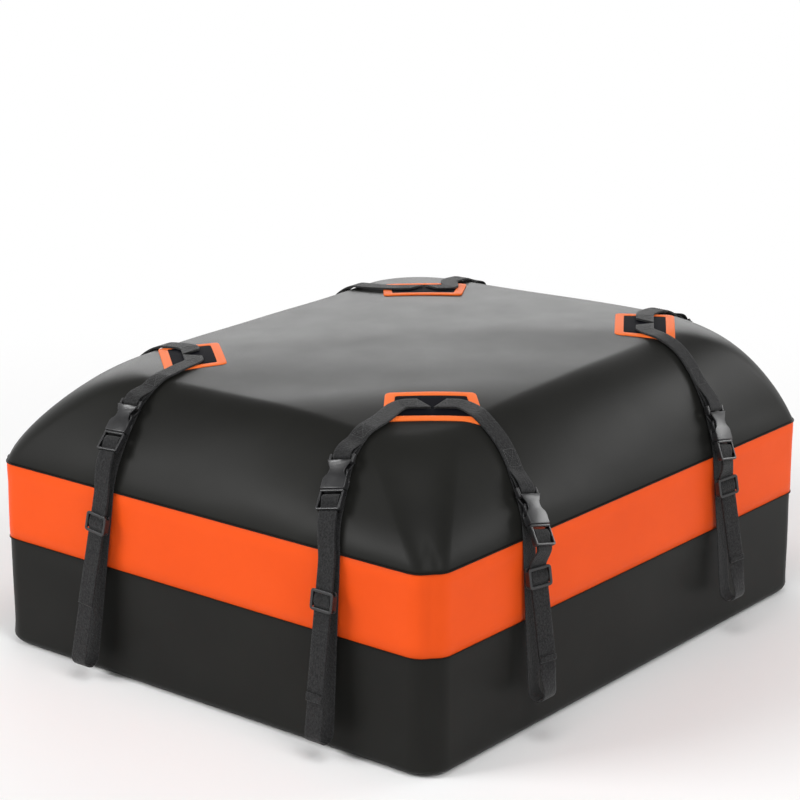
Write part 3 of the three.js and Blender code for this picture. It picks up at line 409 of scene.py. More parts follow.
def over_the_top(side, route):
    """Points on the bag's surface, and normals, from the strap's end on the patch to its socket."""
    wall, out, along = side_axes(side)
    first = out * (wall - route["plan"][0][0]) + along * route["plan"][0][1]
    name = next(n for n, (x, y, _) in PATCHES.items() if x * first[0] > 0 and y * first[1] > 0)
    centre, _, sideways = patch_frame(name)
    sense = math.copysign(1, sideways @ out[:2])
    plan = [centre + sense * reach * sideways for reach in (2, 22, 40)]
    plan += [(out * (wall - inwards) + along * s)[:2] for inwards, s in route["plan"]]
    way = soft_path(np.array([(x, y, 0) for x, y in plan]), 3.0, 12)
    return surface_points(way[:, 0], way[:, 1])


# Materials.
class Graph:
    """The nodes of a material or the world; each method adds a node and gives back its output."""

    def __init__(self, tree):
        self.tree = tree

    def put(self, socket, value):
        """Links an output to an input, or sets the input to a value."""
        if isinstance(value, bpy.types.NodeSocket):
            self.tree.links.new(value, socket)
        else:
            socket.default_value = value

    def add(self, kind, output, inputs=None, **settings):
        """A node, its inputs given by name or number, its settings by name."""
        node = self.tree.nodes.new("ShaderNode" + kind)
        for key, value in settings.items():
            setattr(node, key, value)
        for key, value in (inputs or {}).items():
            self.put(node.inputs[key], value)
        return node.outputs[output]

    def maths(self, operation, *values):
        """A Math node on outputs or numbers."""
        return self.add("Math", 0, dict(enumerate(values)), operation=operation)

    def wave(self, value, pitch, shift=0.0):
        """sin(2 pi * value / pitch + shift)."""
        return self.maths("SINE", self.maths("MULTIPLY_ADD", value, 2 * math.pi / pitch, shift))

    def split(self, vector):
        """The three parts of a vector."""
        return self.add("SeparateXYZ", 0, {0: vector}).node.outputs

    def noise(self, scale, detail, roughness):
        """Cloudy noise on the piece's own coordinates."""
        return self.add("TexNoise", "Fac", {"Vector": self.add("TexCoord", "Object"), "Scale": scale,
                                            "Detail": detail, "Roughness": roughness})

    def spread(self, value, low, high, to_low=0.0, to_high=1.0):
        """A value carried from one range to another and held inside it."""
        return self.add("MapRange", "Result", {"Value": value, "From Min": low, "From Max": high,
                                               "To Min": to_low, "To Max": to_high})

    def ramp(self, factor, stops):
        """A colour ramp from (position, colour) stops."""
        colour = self.add("ValToRGB", 0, {0: factor})
        elements = colour.node.color_ramp.elements
        while len(elements) < len(stops):
            elements.new(0.5)
        for element, (position, shade) in zip(elements, stops):
            element.position = position
            element.color = (*shade, 1)
        return colour

    def bump(self, height, strength, distance):
        """A normal moved by a height."""
        return self.add("Bump", "Normal", {"Height": height, "Strength": strength, "Distance": distance})

    def seen(self):
        """One for rays from the camera or off a glossy surface, nought for the others."""
        return self.maths("MAXIMUM", self.add("LightPath", "Is Camera Ray"),
                          self.add("LightPath", "Is Glossy Ray"))


def new_material(name, colour, roughness, gloss):
    """A Principled material: returns it with its graph and its shader's inputs."""
    material = bpy.data.materials.new(name)
    material.use_nodes = True
    inputs = material.node_tree.nodes["Principled BSDF"].inputs
    inputs["Base Color"].default_value = (*colour, 1)
    inputs["Roughness"].default_value = roughness
    inputs["Specular IOR Level"].default_value = gloss
    return material, Graph(material.node_tree), inputs


def tarpaulin(name, dark, light, roughness, gloss=0.08):
    """Coated tarpaulin: cloudy tone, slightly uneven gloss, a faint scrim showing through the coat."""
    material, graph, inputs = new_material(name, light, roughness, gloss)
    graph.put(inputs["Base Color"], graph.ramp(graph.noise(5.0, 4.0, 0.55), [(0.3, dark), (0.7, light)]))
    uneven = graph.spread(graph.noise(14.0, 5.0, 0.6), 0.3, 0.7, roughness - 0.015, roughness + 0.02)
    graph.put(inputs["Roughness"], uneven)
    x, y, z = graph.split(graph.add("TexCoord", "Object"))
    ways = graph.maths("ADD", x, y), graph.maths("ADD", z, graph.maths("SUBTRACT", x, y))
    threads = graph.maths("ADD", *[graph.wave(way, SCRIM_PITCH) for way in ways])
    fine, slow = graph.noise(1400.0, 2.0, 0.5), graph.noise(22.0, 3.0, 0.5)
    height = graph.maths("MULTIPLY_ADD", slow, 3.0, graph.maths("MULTIPLY_ADD", threads, 0.12, fine))
    graph.put(inputs["Normal"], graph.bump(height, 0.2, 0.0002))
    return material


def webbing_material(name, dark, light):
    """Woven webbing: ribs across and picks along from the piece's UVs, with painted shade darkening the
    weave's hollows, and lighter along both edges."""
    material, graph, inputs = new_material(name, light, 0.8, 0.2)
    across, along, _ = graph.split(graph.add("UVMap", "UV"))
    rib = graph.wave(across, RIB_PITCH)
    pick = graph.wave(along, PICK_PITCH, graph.maths("MULTIPLY", rib, 0.7))
    weave = graph.maths("MULTIPLY_ADD", graph.maths("MULTIPLY", rib, pick), 0.5, 0.5)
    flecks = graph.maths("MULTIPLY", graph.maths("SUBTRACT", graph.noise(330.0, 2.0, 0.6), 0.5), 1.9)
    fuzz = graph.maths("MULTIPLY_ADD", graph.noise(900.0, 4.0, 0.7), 0.35, flecks)
    level = graph.maths("MULTIPLY_ADD", weave, 0.65, fuzz)
    edge = graph.spread(graph.maths("ABSOLUTE", across), WEB_WIDTH * 0.00042, WEB_WIDTH * 0.00046)
    lit = graph.maths("MULTIPLY_ADD", edge, 0.22, level)
    # The colour follows the weave's height, giving painted shade in its hollows, plus random flecks and
    # lighter edges.
    graph.put(inputs["Base Color"], graph.ramp(lit, [(0.2, dark), (1.0, light)]))
    graph.put(inputs["Normal"], graph.bump(level, 0.8, 0.0006))
    inputs["Sheen Weight"].default_value = 0.15
    inputs["Sheen Roughness"].default_value = 0.5
    return material


def moulded_plastic(name, dark, light, roughness):
    """Moulded plastic: a fine eroded grain, a little tone and gloss unevenness."""
    material, graph, inputs = new_material(name, light, roughness, 0.5)
    cloud = graph.noise(60.0, 3.0, 0.6)
    graph.put(inputs["Base Color"], graph.ramp(cloud, [(0.3, dark), (0.7, light)]))
    graph.put(inputs["Roughness"], graph.spread(cloud, 0.0, 1.0, roughness - 0.08, roughness + 0.08))
    graph.put(inputs["Normal"], graph.bump(graph.noise(3500.0, 2.0, 0.5), 0.25, 0.00012))
    return material


# Pitches of the scrim under the coat and of the webbing's weave, in metres.
SCRIM_PITCH, RIB_PITCH, PICK_PITCH = 0.0016, 0.0026, 0.0019
BLACK = tarpaulin("black_tarpaulin", (0.0125, 0.0125, 0.0115), (0.0165, 0.0165, 0.0150), 0.38)
ORANGE = tarpaulin("orange_tarpaulin", (0.80, 0.082, 0.009), (0.86, 0.094, 0.012), 0.42)
# The patch frames' orange is the band's orange made lighter and yellower: a painted top light on the
# lids.
TOP_LIT_TRIM = tarpaulin("orange_trim_painted_top_light", (0.80, 0.15, 0.028), (0.86, 0.17, 0.034), 0.55)
FIELD = tarpaulin("patch_field", (0.004, 0.004, 0.006), (0.006, 0.006, 0.009), 0.75, 0.03)
SEAM = tarpaulin("welded_seam", (0.008, 0.006, 0.005), (0.014, 0.011, 0.009), 0.5)
WEB = webbing_material("woven_webbing", (0.001, 0.001, 0.0012), (0.027, 0.027, 0.028))
PLASTIC = moulded_plastic("buckle_plastic", (0.013, 0.013, 0.014), (0.023, 0.023, 0.024), 0.3)
THREAD = moulded_plastic("sewing_thread", (0.035, 0.035, 0.035), (0.08, 0.08, 0.08), 0.6)
ZIP = moulded_plastic("zip_plastic", (0.012, 0.012, 0.013), (0.02, 0.02, 0.022), 0.4)


def add_piece(name, parts, material, slot, body, *nodes):
    """A piece with its material, the body it rides on and the CAD nodes it stands for; the slot is not
    used.
    """
    piece = make_object(name, *parts)
    piece.data.materials.append(material)
    if nodes:
        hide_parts(*nodes)
    if body:
        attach(piece, body)
    return piece


# The bag body, and how many steps its rings take round a corner and along a side.
AROUND_CORNER, AROUND_SIDE = 26, 44


def around_bag():
    """Samples round the bag: the place along the straight sides (a, b) from -1 to 1, and the normal."""
    signs = np.array([(1, 1), (-1, 1), (-1, -1), (1, -1)], float)
    places, normals = [], []
    for corner, sign in enumerate(signs):
        angle = (corner + np.linspace(0, 1, AROUND_CORNER + 1)) * math.pi / 2
        side = np.linspace(0, 1, AROUND_SIDE + 1)[1:-1, None]
        places += [np.broadcast_to(sign, (len(angle), 2)),
                   sign + (signs[(corner + 1) % 4] - sign) * side]
        turned = np.stack([np.cos(angle), np.sin(angle)], -1)
        normals += [turned, np.broadcast_to(turned[-1], (len(side), 2))]
    return (*np.concatenate(places).T, np.concatenate(normals))


AROUND = around_bag()


def ring(inset, radius, z, scale=1.0, offset=0.0):
    """Level outline at an inset: corner centres pushed out by the radius along the normals."""
    a, b, n = AROUND
    x = (a * (HALF_WIDTH - inset - radius) + n[:, 0] * radius) * scale + n[:, 0] * offset
    y = (b * (HALF_LENGTH - inset - radius) + n[:, 1] * radius) * scale + n[:, 1] * offset
    return np.stack([x, y, loaded_height(x, y, z)], -1)


def soft_relief(points):
    """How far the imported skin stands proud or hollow, in millimetres: a few long crossed waves, and a
    bell-shaped upright crease down each corner of the walls."""
    x, y, z = points[..., 0], points[..., 1], points[..., 2]
    waves = (0.9 * np.sin(x / 118 + 0.6) * np.sin(y / 131 - 0.4) + 0.6 * np.sin((x + y) / 74 + z / 61)
             + 0.4 * np.sin((x - 1.3 * y) / 52 - z / 43 + 1.2)) - 0.7
    keep_seams = smooth_step(np.abs(z - BAND_TOP) / 40) * smooth_step(np.abs(z - BAND_BOTTOM) / 30)
    keep_base = smooth_step((z - 6) / 40)
    over_x = np.abs(x) - HALF_WIDTH + WALL_CORNER_RADIUS
    over_y = np.abs(y) - HALF_LENGTH + WALL_CORNER_RADIUS
    turn = np.degrees(np.arctan2(np.maximum(over_y, 1e-6), np.maximum(over_x, 1e-6)))
    at_corner = np.where((over_x > 0) & (over_y > 0), np.exp(-((turn - 42) / 15) ** 2), 0.0)
    crease = -3.4 * at_corner * (1 - smooth_step((z - BAND_TOP) / 50))
    return waves * keep_seams * keep_base + crease * keep_base


def bag_shell():
    """The skin: base edge, walls, shoulders and crown as level rings, closed by two middle points."""
    levels = [(BASE_TUCK * (1 - math.sin(angle)), WALL_CORNER_RADIUS, BASE_ROUND * (1 - math.cos(angle)))
              for angle in np.linspace(0, 1, 7) * math.pi / 2]
    levels += [(0, WALL_CORNER_RADIUS, z)
               for z in (*np.linspace(24, BAND_BOTTOM, 14), *np.linspace(200, BAND_TOP, 6))]
    for share in 1 - (1 - np.arange(1, 41) / 40) ** 1.5:
        inset = shoulder_inset(share)
        levels.append((inset, shoulder_radius(inset), BAND_TOP + SHOULDER_RISE * share))
    levels += [(SHOULDER_RUN, RIM_CORNER_RADIUS, RIM_HEIGHT + CROWN_RISE * (1 - scale ** 2), scale)
               for scale in np.linspace(1, 0.02, 34)[1:]]
    grid = np.array([ring(*level) for level in levels])
    rows, columns = grid.shape[:2]
    along = np.roll(grid, -1, axis=1) - np.roll(grid, 1, axis=1)
    normal = unit(np.cross(along, np.gradient(grid, axis=0)))
    grid = grid + normal * soft_relief(grid)[..., None]
    first, last = np.arange(columns), (rows - 1) * columns + np.arange(columns)
    faces = grid_faces(rows, columns) + fan_faces(rows * columns, np.roll(first, -1), first)
    faces += fan_faces(rows * columns + 1, last, np.roll(last, -1))
    return np.concatenate([grid.reshape(-1, 3), [grid[0].mean(0), grid[-1].mean(0)]]), faces


shell = add_piece("bag_shell", bag_shell(), BLACK, "black_tarpaulin", "bag", "bag_body")


def band_strip(low, high, thickness, edge, bulge=0.0):
    """A strip round the wall: its profile is flat with rounded edges, carried round the outline."""
    z = np.linspace(low, high, 14)
    out = 0.3 + thickness + bulge * np.sin((z - low) / (high - low) * math.pi)
    out[0] = out[-1] = 0.2
    out[1] = out[-2] = 0.2 + thickness * 0.8
    z[1], z[-2] = low + edge, high - edge
    profile = [*zip(z, out), (high, -0.6), (low, -0.6)]
    grid = np.array([ring(0, WALL_CORNER_RADIUS, height, offset=depth) for height, depth in profile])
    grid[..., :2] += AROUND[2] * soft_relief(grid)[..., None]
    return grid.reshape(-1, 3), grid_faces(*grid.shape[:2], True)


add_piece("orange_band", band_strip(BAND_BOTTOM, BAND_TOP, 1.2, 0.8, 0.8), ORANGE, "orange_tarpaulin",
          "bag", "coloured_band")
for seam_name, seam_z in (("upper_seam", BAND_TOP), ("lower_seam", BAND_BOTTOM)):
    add_piece(seam_name, band_strip(seam_z - 1.5, seam_z + 1.5, 1.9, 0.7), SEAM, "black_tarpaulin", "bag")


# The corner patches.
def patch_outline(border, radius):
    """The patch's outline drawn in by a border, each corner rounded by a quadratic curve."""
    half = PATCH_DEPTH / 2 - border
    inner, outer = PATCH_INNER / 2 - border, PATCH_OUTER / 2 - border
    corners = np.array([(-inner, -half), (inner, -half), (outer, half), (-outer, half)], float)
    t = np.linspace(0, 1, 5)[:, None]
    points = []
    for k, corner in enumerate(corners):
        after = corners[(k + 1) % 4]
        start = corner + unit(corners[k - 1] - corner) * radius
        end = corner + unit(after - corner) * radius
        points.append((1 - t) ** 2 * start + 2 * t * (1 - t) * corner + t ** 2 * end)
        following = after + unit(corner - after) * radius
        points.append(end + (following - end) * np.linspace(0, 1, 14)[1:-1, None])
    return np.concatenate(points)


def on_patch(name, local, lifts):
    """Patch coordinates (sideways, outwards) laid on the bag's top, each row lifted along the normals."""
    centre, outward, _ = patch_frame(name)
    cross = np.array([outward[1], -outward[0]])
    plan = centre + local[..., :1] * cross + local[..., 1:] * outward
    points, normals = surface_points(plan[..., 0], plan[..., 1])
    return points + normals * np.reshape(lifts, (-1, 1, 1))


def patch_border(name):
    """The orange frame: rings between the outer and inner outlines, lifted in a low rounded section."""
    outer, inner = patch_outline(0, 10), patch_outline(PATCH_BORDER, 4)
    shares = np.array([0, 0, 0.03, 0.1, 0.3, 0.5, 0.7, 0.9, 0.97, 1.0, 1.0])
    lifts = [-1.5, 0.6, 1.2, 1.55, 1.75, 1.8, 1.75, 1.55, 1.2, 0.6, -1.5]
    grid = on_patch(name, outer + (inner - outer) * shares[:, None, None], lifts)
    return grid.reshape(-1, 3), grid_faces(*grid.shape[:2], True)


def patch_field(name):
    """The black field: the inner outline drawn towards its middle in rings, almost flat."""
    shares = np.array([1, 1, 0.97, 0.8, 0.55, 0.3, 0.1])
    lifts = [-1.5, 0.8, 1.15, 1.2, 1.2, 1.2, 1.2]
    grid = on_patch(name, patch_outline(PATCH_BORDER - 0.8, 4) * shares[:, None, None], lifts)
    rows, columns = grid.shape[:2]
    last = (rows - 1) * columns + np.arange(columns)
    faces = grid_faces(rows, columns) + fan_faces(rows * columns, last, np.roll(last, -1))
    faces.append(list(range(columns))[::-1])
    middle = on_patch(name, np.zeros((1, 1, 2)), [1.2])
    return np.concatenate([grid.reshape(-1, 3), middle[0]]), faces


for patch in PATCHES:
    add_piece(f"patch_frame_{patch}", patch_border(patch), TOP_LIT_TRIM, "orange_tarpaulin", "bag",
              f"patch_border_{patch}")
    add_piece(f"patch_field_{patch}", patch_field(patch), FIELD, "black_tarpaulin", "bag",
              f"patch_pad_{patch}")


# The straps.
def joined(*runs):
    """Several runs of (points, normals) as one."""
    return [np.concatenate(part) for part in zip(*runs)]


def laid(path, normals, step=2.5, passes=4):
    """The path and its normals made even and soft together."""
    keep = np.concatenate([[True], np.linalg.norm(np.diff(path, axis=0), axis=1) > 0.3])
    curve = soft_path(np.concatenate([path, normals * 20], axis=1)[keep], step, passes)
    return curve[:, :3], unit(curve[:, 3:])


def inner_leg(f):
    """The long leg: over the top, down the shoulder and the wall, and the inner half of the foot loop."""
    points, normals = f["top"]
    wall, out, along = side_axes(f["side"])
    start, knee_along = points[-1], f["knee"] @ along
    shares = np.linspace(0, 1, 12)[1:]
    heights = start[2] + (BAND_TOP - start[2]) * shares
    places = start @ along + (knee_along - start @ along) * shares
    inset = inset_at(f["side"], places, heights)
    rise = inset_at(f["side"], places, heights + 1) - inset
    leaning = unit(out + rise[:, None] * UP)
    shoulder = out * (wall - inset)[:, None] + along * places[:, None] + UP * heights[:, None]
    shoulder = shoulder + leaning * LEG_OFFSET
    upper, lower = shoulder[-1], f["centre"] - out * LOOP_RADIUS
    straight = np.array([0.03, 0.08, 0.3, 0.6, 0.85, 0.95])[:, None]
    upright = unit(leaning[-1] + (out - leaning[-1]) * np.minimum(straight * 10, 1))
    angle = np.linspace(0, math.pi / 2, 12)[:, None]
    inward = out * np.cos(angle) + UP * np.sin(angle)
    return joined((points + normals * LEG_OFFSET, normals), (shoulder, leaning),
                  (upper + (lower - upper) * straight, upright),
                  (f["centre"] - inward * LOOP_RADIUS, inward))


def in_buckle(f, v, w):
    """Points at v down the buckle and w out of its middle plane."""
    return f["origin"] + np.outer(v, f["down"]) + np.outer(w, f["face"])


def flat_run(f, normal, *places):
    """A run through (v, w) places of the buckle that share one normal."""
    return in_buckle(f, *np.array(places, float).T), same(normal, len(places))


def bar_wrap(f, centre_v, radius, sense):
    """Half a turn round a bar: from its outer face (sense 1) or its back (sense -1) to the other."""
    angle = np.linspace(0, math.pi, 12)
    normal = f["face"] * np.cos(angle)[:, None] + f["down"] * np.sin(angle)[:, None] * sense
    return in_buckle(f, centre_v + radius * np.sin(angle) * sense, radius * np.cos(angle)), normal


def upper_leg(f):
    """The short leg: on top of the long one, over the rim, through the socket's bar and back."""
    points, normals = f["top"]
    cut = len(points) - 9
    tuck, tuck_normals = points[cut - 3:cut + 1][::-1], normals[cut - 3:cut + 1][::-1]
    return joined((points[:cut] + normals[:cut] * PLY_OFFSET, normals[:cut]),
                  flat_run(f, f["face"], (-5, SOCKET_WRAP), (0, SOCKET_WRAP)),
                  bar_wrap(f, SOCKET_BAR, SOCKET_WRAP, 1),
                  flat_run(f, -f["face"], (0, -SOCKET_WRAP), (-5, -SOCKET_WRAP)),
                  (tuck + tuck_normals * (PLY_OFFSET - 0.4), -tuck_normals))


def straight_top(f):
    """The height where the outer run leaves its straight line for the plug: under the knee, and above
    the slider's highest place."""
    return min(f["knee"][2] - 12, f["route"]["slider"] + SLIDER_RISE[f["side"]] + SLIDER_HALF + 3)


def outer_leg(f):
    """The outer half of the foot loop and the run up to the plug's back, turning on its way up."""
    angle = np.linspace(-math.pi / 2, math.asin(f["run"] @ f["out"]), 14)[:, None]
    outward = f["out"] * np.cos(angle) + UP * np.sin(angle)
    loop = f["centre"] + outward * LOOP_RADIUS
    low = loop[-1][2]
    heights = np.linspace(low, straight_top(f), 24)[1:]
    turned = smooth_step((heights - low) / (f["route"]["tail"] - LOOP_RADIUS / 2 - low))[:, None]
    faces = unit(outward[-1] * (1 - turned) + f["run_face"] * turned)
    return joined((loop, outward), (run_point(f, heights), faces),
                  flat_run(f, f["face"], (PLUG_END + 1, RUN_DEPTH), (PLUG_END - 4, RUN_DEPTH)))


def tail_leg(f):
    """From behind the plug, over its middle bar, down in front and behind its lower bar, to the end,
    which is folded back on itself as far as the slider's lowest place leaves room."""
    radius, depth = -RUN_DEPTH, RUN_DEPTH + TAIL_STEP
    wrap, wrap_normals = bar_wrap(f, BAR_START + 0.8, radius, -1)
    heights = np.linspace(straight_top(f), f["route"]["tail"], 10)
    hanging = run_point(f, heights) + f["run_face"] * TAIL_STEP
    runs = [flat_run(f, f["face"], (PLUG_END - 4.5, RUN_DEPTH), (BAR_END + 4, RUN_DEPTH)),
            (wrap[::-1], -wrap_normals[::-1]),
            flat_run(f, -f["face"], (BAR_END, radius + 0.4), (WINDOW_MIDDLE, (radius + depth) / 2),
                     (PLUG_END - 7.5, depth), (PLUG_END + 1, depth)),
            (hanging, same(-f["run_face"], len(hanging)))]
    lowest = f["route"]["slider"] - SLIDER_TRAVEL[f["side"]] - SLIDER_HALF - 2
    fold = min(FOLD_LENGTH, lowest - f["route"]["tail"])
    if fold >= 3:
        angle = np.linspace(0, math.pi, 9)[1:, None]
        normal = -f["run_face"] * np.cos(angle) + f["run"] * np.sin(angle)
        bend = hanging[-1] + f["run_face"] * FOLD_RADIUS + normal * FOLD_RADIUS
        back = bend[-1] - f["run"] * np.linspace(0, fold, 5)[1:, None]
        runs += [(bend, normal), (back, same(f["run_face"], len(back)))]
    return joined(*runs)


STITCH_PITCH, STITCH_LENGTH, THREAD_RADIUS = 4.0, 2.9, 0.4


def stitch_row(path, normals):
    """A row of thread stitches along a path: each a short six-sided spindle lying on the surface."""
    along = lengths(path)
    places = np.arange(STITCH_PITCH / 2, along[-1], STITCH_PITCH)
    middle = sampled(places, along, path)
    normal = unit(sampled(places, along, normals))
    forward = unit(sampled(places + 0.5, along, path) - middle + 1e-9)
    across = unit(np.cross(normal, forward))
    s = np.array([-0.5, -0.3, 0.3, 0.5]) * STITCH_LENGTH
    width = np.array([0.25, 1.0, 1.0, 0.25])[:, None] * THREAD_RADIUS
    turn = np.arange(6) * math.pi / 3
    local = (s[:, None, None] * forward[:, None, None]
             + (width * np.cos(turn))[None, ..., None] * across[:, None, None]
             + (width * np.sin(turn))[None, ..., None] * normal[:, None, None])
    vertices = (middle[:, None, None] + local).reshape(-1, 3)
    return vertices, repeated(capped_faces(4, 6), 24, len(places)), None


def stitch_box(path, normals, start, end):
    """Thread places for a sewn box with a cross between two lengths along a strap, as spindle rows."""
    half, lift = 10.5, 0.95
    corners = np.array([(start, -half), (end, -half), (end, half), (start, half), (start, -half),
                        (end, half), (end, -half), (start, half)], float)
    rows = []
    for (s0, a0), (s1, a1) in zip(corners[:-1], corners[1:]):
        t = np.linspace(0, 1, int(math.hypot(s1 - s0, a1 - a0) / 0.8))
        rows.append(on_strap(path, normals, s0 + (s1 - s0) * t, a0 + (a1 - a0) * t, lift))
    return rows


def plate(outline, low, high, rounding):
    """A flat moulded piece: its outline rounded over at the top and bottom, with flat caps."""
    edge = np.roll(outline, -1, axis=0) - np.roll(outline, 1, axis=0)
    inward = unit(np.stack([-edge[:, 1], edge[:, 0]], -1))
    turn = np.linspace(0, math.pi / 2, 4)
    levels = [(angle, low + rounding * (1 - np.sin(angle))) for angle in turn[::-1]]
    levels += [(angle, high - rounding * (1 - np.sin(angle))) for angle in turn]
    grid = np.array([np.column_stack([outline + inward * rounding * (1 - np.cos(angle)),
                                      np.full(len(outline), z)]) for angle, z in levels])
    return grid.reshape(-1, 3), capped_faces(*grid.shape[:2]), None


def box_plate(low, high, rounding):
    """A moulded block between two corners, with rounded edges all round."""
    half, middle = (np.array(high) - low) / 2, (np.array(high) + low) / 2
    corner = min(rounding, half[0] * 0.9, half[1] * 0.9)
    outline = rounded_rectangle(half[0], half[1], corner, 3) + middle[:2]
    return plate(outline, low[2], high[2], min(rounding, half[2] * 0.9, corner))


def box_pair(low, high, rounding, axis=0):
    """Two moulded blocks, each the mirror image of the other across an axis."""
    mirror = np.where(np.arange(3) == axis, -1.0, 1.0)
    return [box_plate(*np.sort([low * mirror, high * mirror], axis=0), rounding),
            box_plate(low, high, rounding)]


def frame_ring(half_x, half_y, radius, width, low, high, centre=(0, 0)):
    """A closed frame: a rounded section carried round a rounded rectangle."""
    line = rounded_rectangle(half_x - width / 2, half_y - width / 2, radius - width / 2, 6)
    path = np.column_stack([line + centre, np.full(len(line), (low + high) / 2)])
    forward = unit(np.roll(path, -1, axis=0) - np.roll(path, 1, axis=0))
    up = same(UP, len(path))
    profile = rounded_rectangle(width / 2, (high - low) / 2, min(width, high - low) * 0.3, 3)
    return sweep(path, np.cross(forward, up), up, profile, closed=True)


def arc_points(centre, radius, start, end):
    """Twelve points on a circle from one angle to another, in degrees."""
    angle = np.radians(np.linspace(start, end, 12))
    return np.stack([centre[0] + radius * np.cos(angle), centre[1] + radius * np.sin(angle)], -1)


def socket_parts():
    """The socket: loop bar between two ears, and a waisted shell with round bites for the fingers."""
    right = np.concatenate([
        [(20.6, 9.2), (19.4, 12.0), (17.6, 15.5)],
        arc_points((24.0, 26.5), 11.2, 225, 140),
        [(18.6, 36.6), (20.2, 40.0), (20.6, 44.0), (20.4, 55.0), (19.4, 56.8)],
    ])
    outline = np.concatenate([right, right[::-1] * (-1, 1)])
    return gather([
        plate(outline, 3.4, 6.4, 1.1), plate(outline, -6.4, -3.4, 1.1),
        *box_pair((17.2, -2.4, -3.9), (21.4, 13.0, 3.9), 1.6),
        *box_pair((17.6, 43.0, -4.6), (20.2, 56.6, 4.6), 0.9),
        box_plate((-18, -2.4, -2.4), (18, 2.4, 2.4), 1.9),
        box_plate((-18.8, 9.6, -4.6), (18.8, 13.6, 4.6), 1.2),
    ])


def plug_parts():
    """The plug: frame with its bars, collar, two sprung prongs that bow out to the socket's finger
    bites, and a guide between them."""
    half, middle = (PLUG_END - PLUG_START) / 2, (PLUG_END + PLUG_START) / 2
    parts = [frame_ring(20.5, half, 3, 3.6, -4.4, 4.4, (0, middle)),
             box_plate((-19.5, PLUG_START, -5.9), (19.5, PLUG_START + 4, 5.9), 1.2),
             box_plate((-19, BAR_START, -1.6), (19, BAR_END, 1.6), 0.9),
             box_plate((-2.5, PLUG_START - 27, -2.6), (2.5, PLUG_START + 2, 2.6), 0.7)]
    spine = np.array([(14.2, PLUG_START + 2, 0), (14.2, 48, 0), (14.8, 41, 0), (15.4, 33, 0),
                      (15.2, 27, 0), (13.4, 23.8, 0)])
    for sign in (-1, 1):
        line = soft_path(spine * (sign, 1, 1), 1.2, 2)
        forward, up = unit(np.gradient(line, axis=0)), same(UP, len(line))
        parts.append(sweep(line, np.cross(forward, up), up, rounded_rectangle(1.7, 2.7, 0.9, 3)))
    return gather(parts)


def slider_parts():
    """The strap slider: a rounded front frame, side rails and the bar behind the webbing."""
    front, back = 3.7, -1.3
    return gather([frame_ring(21, 16, 5.5, 4.6, front, front + 2.9),
                   frame_ring(21, 16, 5.5, 3.4, back - 2.9, back - 0.6),
                   *box_pair((17.2, -11, back - 2.6), (20.9, 11, front + 1.5), 1.2),
                   box_plate((-20, -3, back - 2.9), (20, 3, back), 1.1)])


def slider_webbing():
    """The short length of tail that bulges through the slider's window, as a squared cosine."""
    v = np.linspace(-11, 11, 23)
    w = TAIL_STEP + 0.4 + 2.5 * np.cos(v / 22 * math.pi) ** 2
    still = np.zeros(len(v))
    normals = unit(np.column_stack([still, -np.gradient(w, v), np.ones(len(v))]))
    return webbing(np.column_stack([still, v, w]), normals)


def placed(parts, origin, across, down, face):
    """Local millimetres carried to their place by three axes; U and V are kept."""
    vertices, faces, uv = parts
    return origin + vertices @ np.array([across, down, face]), faces, uv


SOCKET, PLUG, SLIDER = socket_parts(), plug_parts(), slider_parts()


def add_strap(label):
    """One strap: both fixed legs, the outer run, the tail, the buckle, the slider and the stitching."""
    f = strap_frames(label)
    plug, slider = f"plug_{label}", f"slider_{label}"
    inner, upper = laid(*inner_leg(f)), laid(*upper_leg(f), 1.5, 3)
    inwards = -np.sign(f["origin"]) * (1, 1, 0)
    slant = 0.7 * math.copysign(1, np.cross(upper[1][0], upper[0][1] - upper[0][0]) @ inwards)
    add_piece(f"sewn_webbing_{label}", gather([webbing(*leg, cut=slant) for leg in (inner, upper)]),
              WEB, "webbing", "bag", f"fixed_strap_{label}")
    rim = lengths(f["top"][0])[-1] - np.array(STITCHED_RIM)
    rows = stitch_box(*upper, *STITCHED_END) + stitch_box(*upper, *rim)
    add_piece(f"webbing_thread_{label}", gather([stitch_row(*row) for row in rows]), THREAD,
              "webbing", "bag")
    outer = laid(*outer_leg(f))
    run = add_piece(f"outer_webbing_{label}", webbing(*outer), WEB, "webbing", None,
                    f"loop_strap_{label}")
    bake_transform(run)
    add_piece(f"tail_webbing_{label}", webbing(*laid(*tail_leg(f), 1.5, 3)), WEB, "webbing", plug)
    buckle = (f["origin"], f["across"], f["down"], f["face"])
    lower = (run_point(f, f["route"]["slider"]), f["run_across"], f["run"], f["run_face"])
    for name, parts, axes, body, node in (("socket", SOCKET, buckle, "bag", "buckle_socket"),
                                          ("plug", PLUG, buckle, plug, "buckle_plug"),
                                          ("slider", SLIDER, lower, slider, "strap_slider")):
        add_piece(f"{name}_{label}", placed(parts, *axes), PLASTIC, "buckle_plastic", body,
                  f"{node}_{label}")
    add_piece(f"bulged_webbing_{label}", placed(slider_webbing(), *lower), WEB, "webbing", slider)


for strap in [*ROUTES, *TWINS]:
    add_strap(strap)


# The zip across the rear wall: along it, up and outwards from its chain line.
ZIP_Z, ZIP_HALF, FLAP_HALF, FLAP_CUT = 144.0, 350.0, 370.0, 38.2
ZIP_AXES = (np.array([-1.0, 0, 0]), UP, np.array([0, 1.0, 0]))
CHAIN_FACE, SLIDER_FACE, PIN_DROP, PIN_DEPTH = 3.8, 5.9, 7.1, 8.49
TAPE_WIDTH, TAPE_THICKNESS, TOOTH_PITCH, SLIDER_PLACE = 44.0, 1.2, 2.4, 334


def zip_line(half, up, out, count=150):
    """A straight line along the rear wall at a height over the chain, with its outward normals."""
    x = np.linspace(half, -half, count)
    points = np.column_stack([x, np.full(count, HALF_LENGTH + out), np.full(count, ZIP_Z + up)])
    return points, same(ZIP_AXES[2], count)


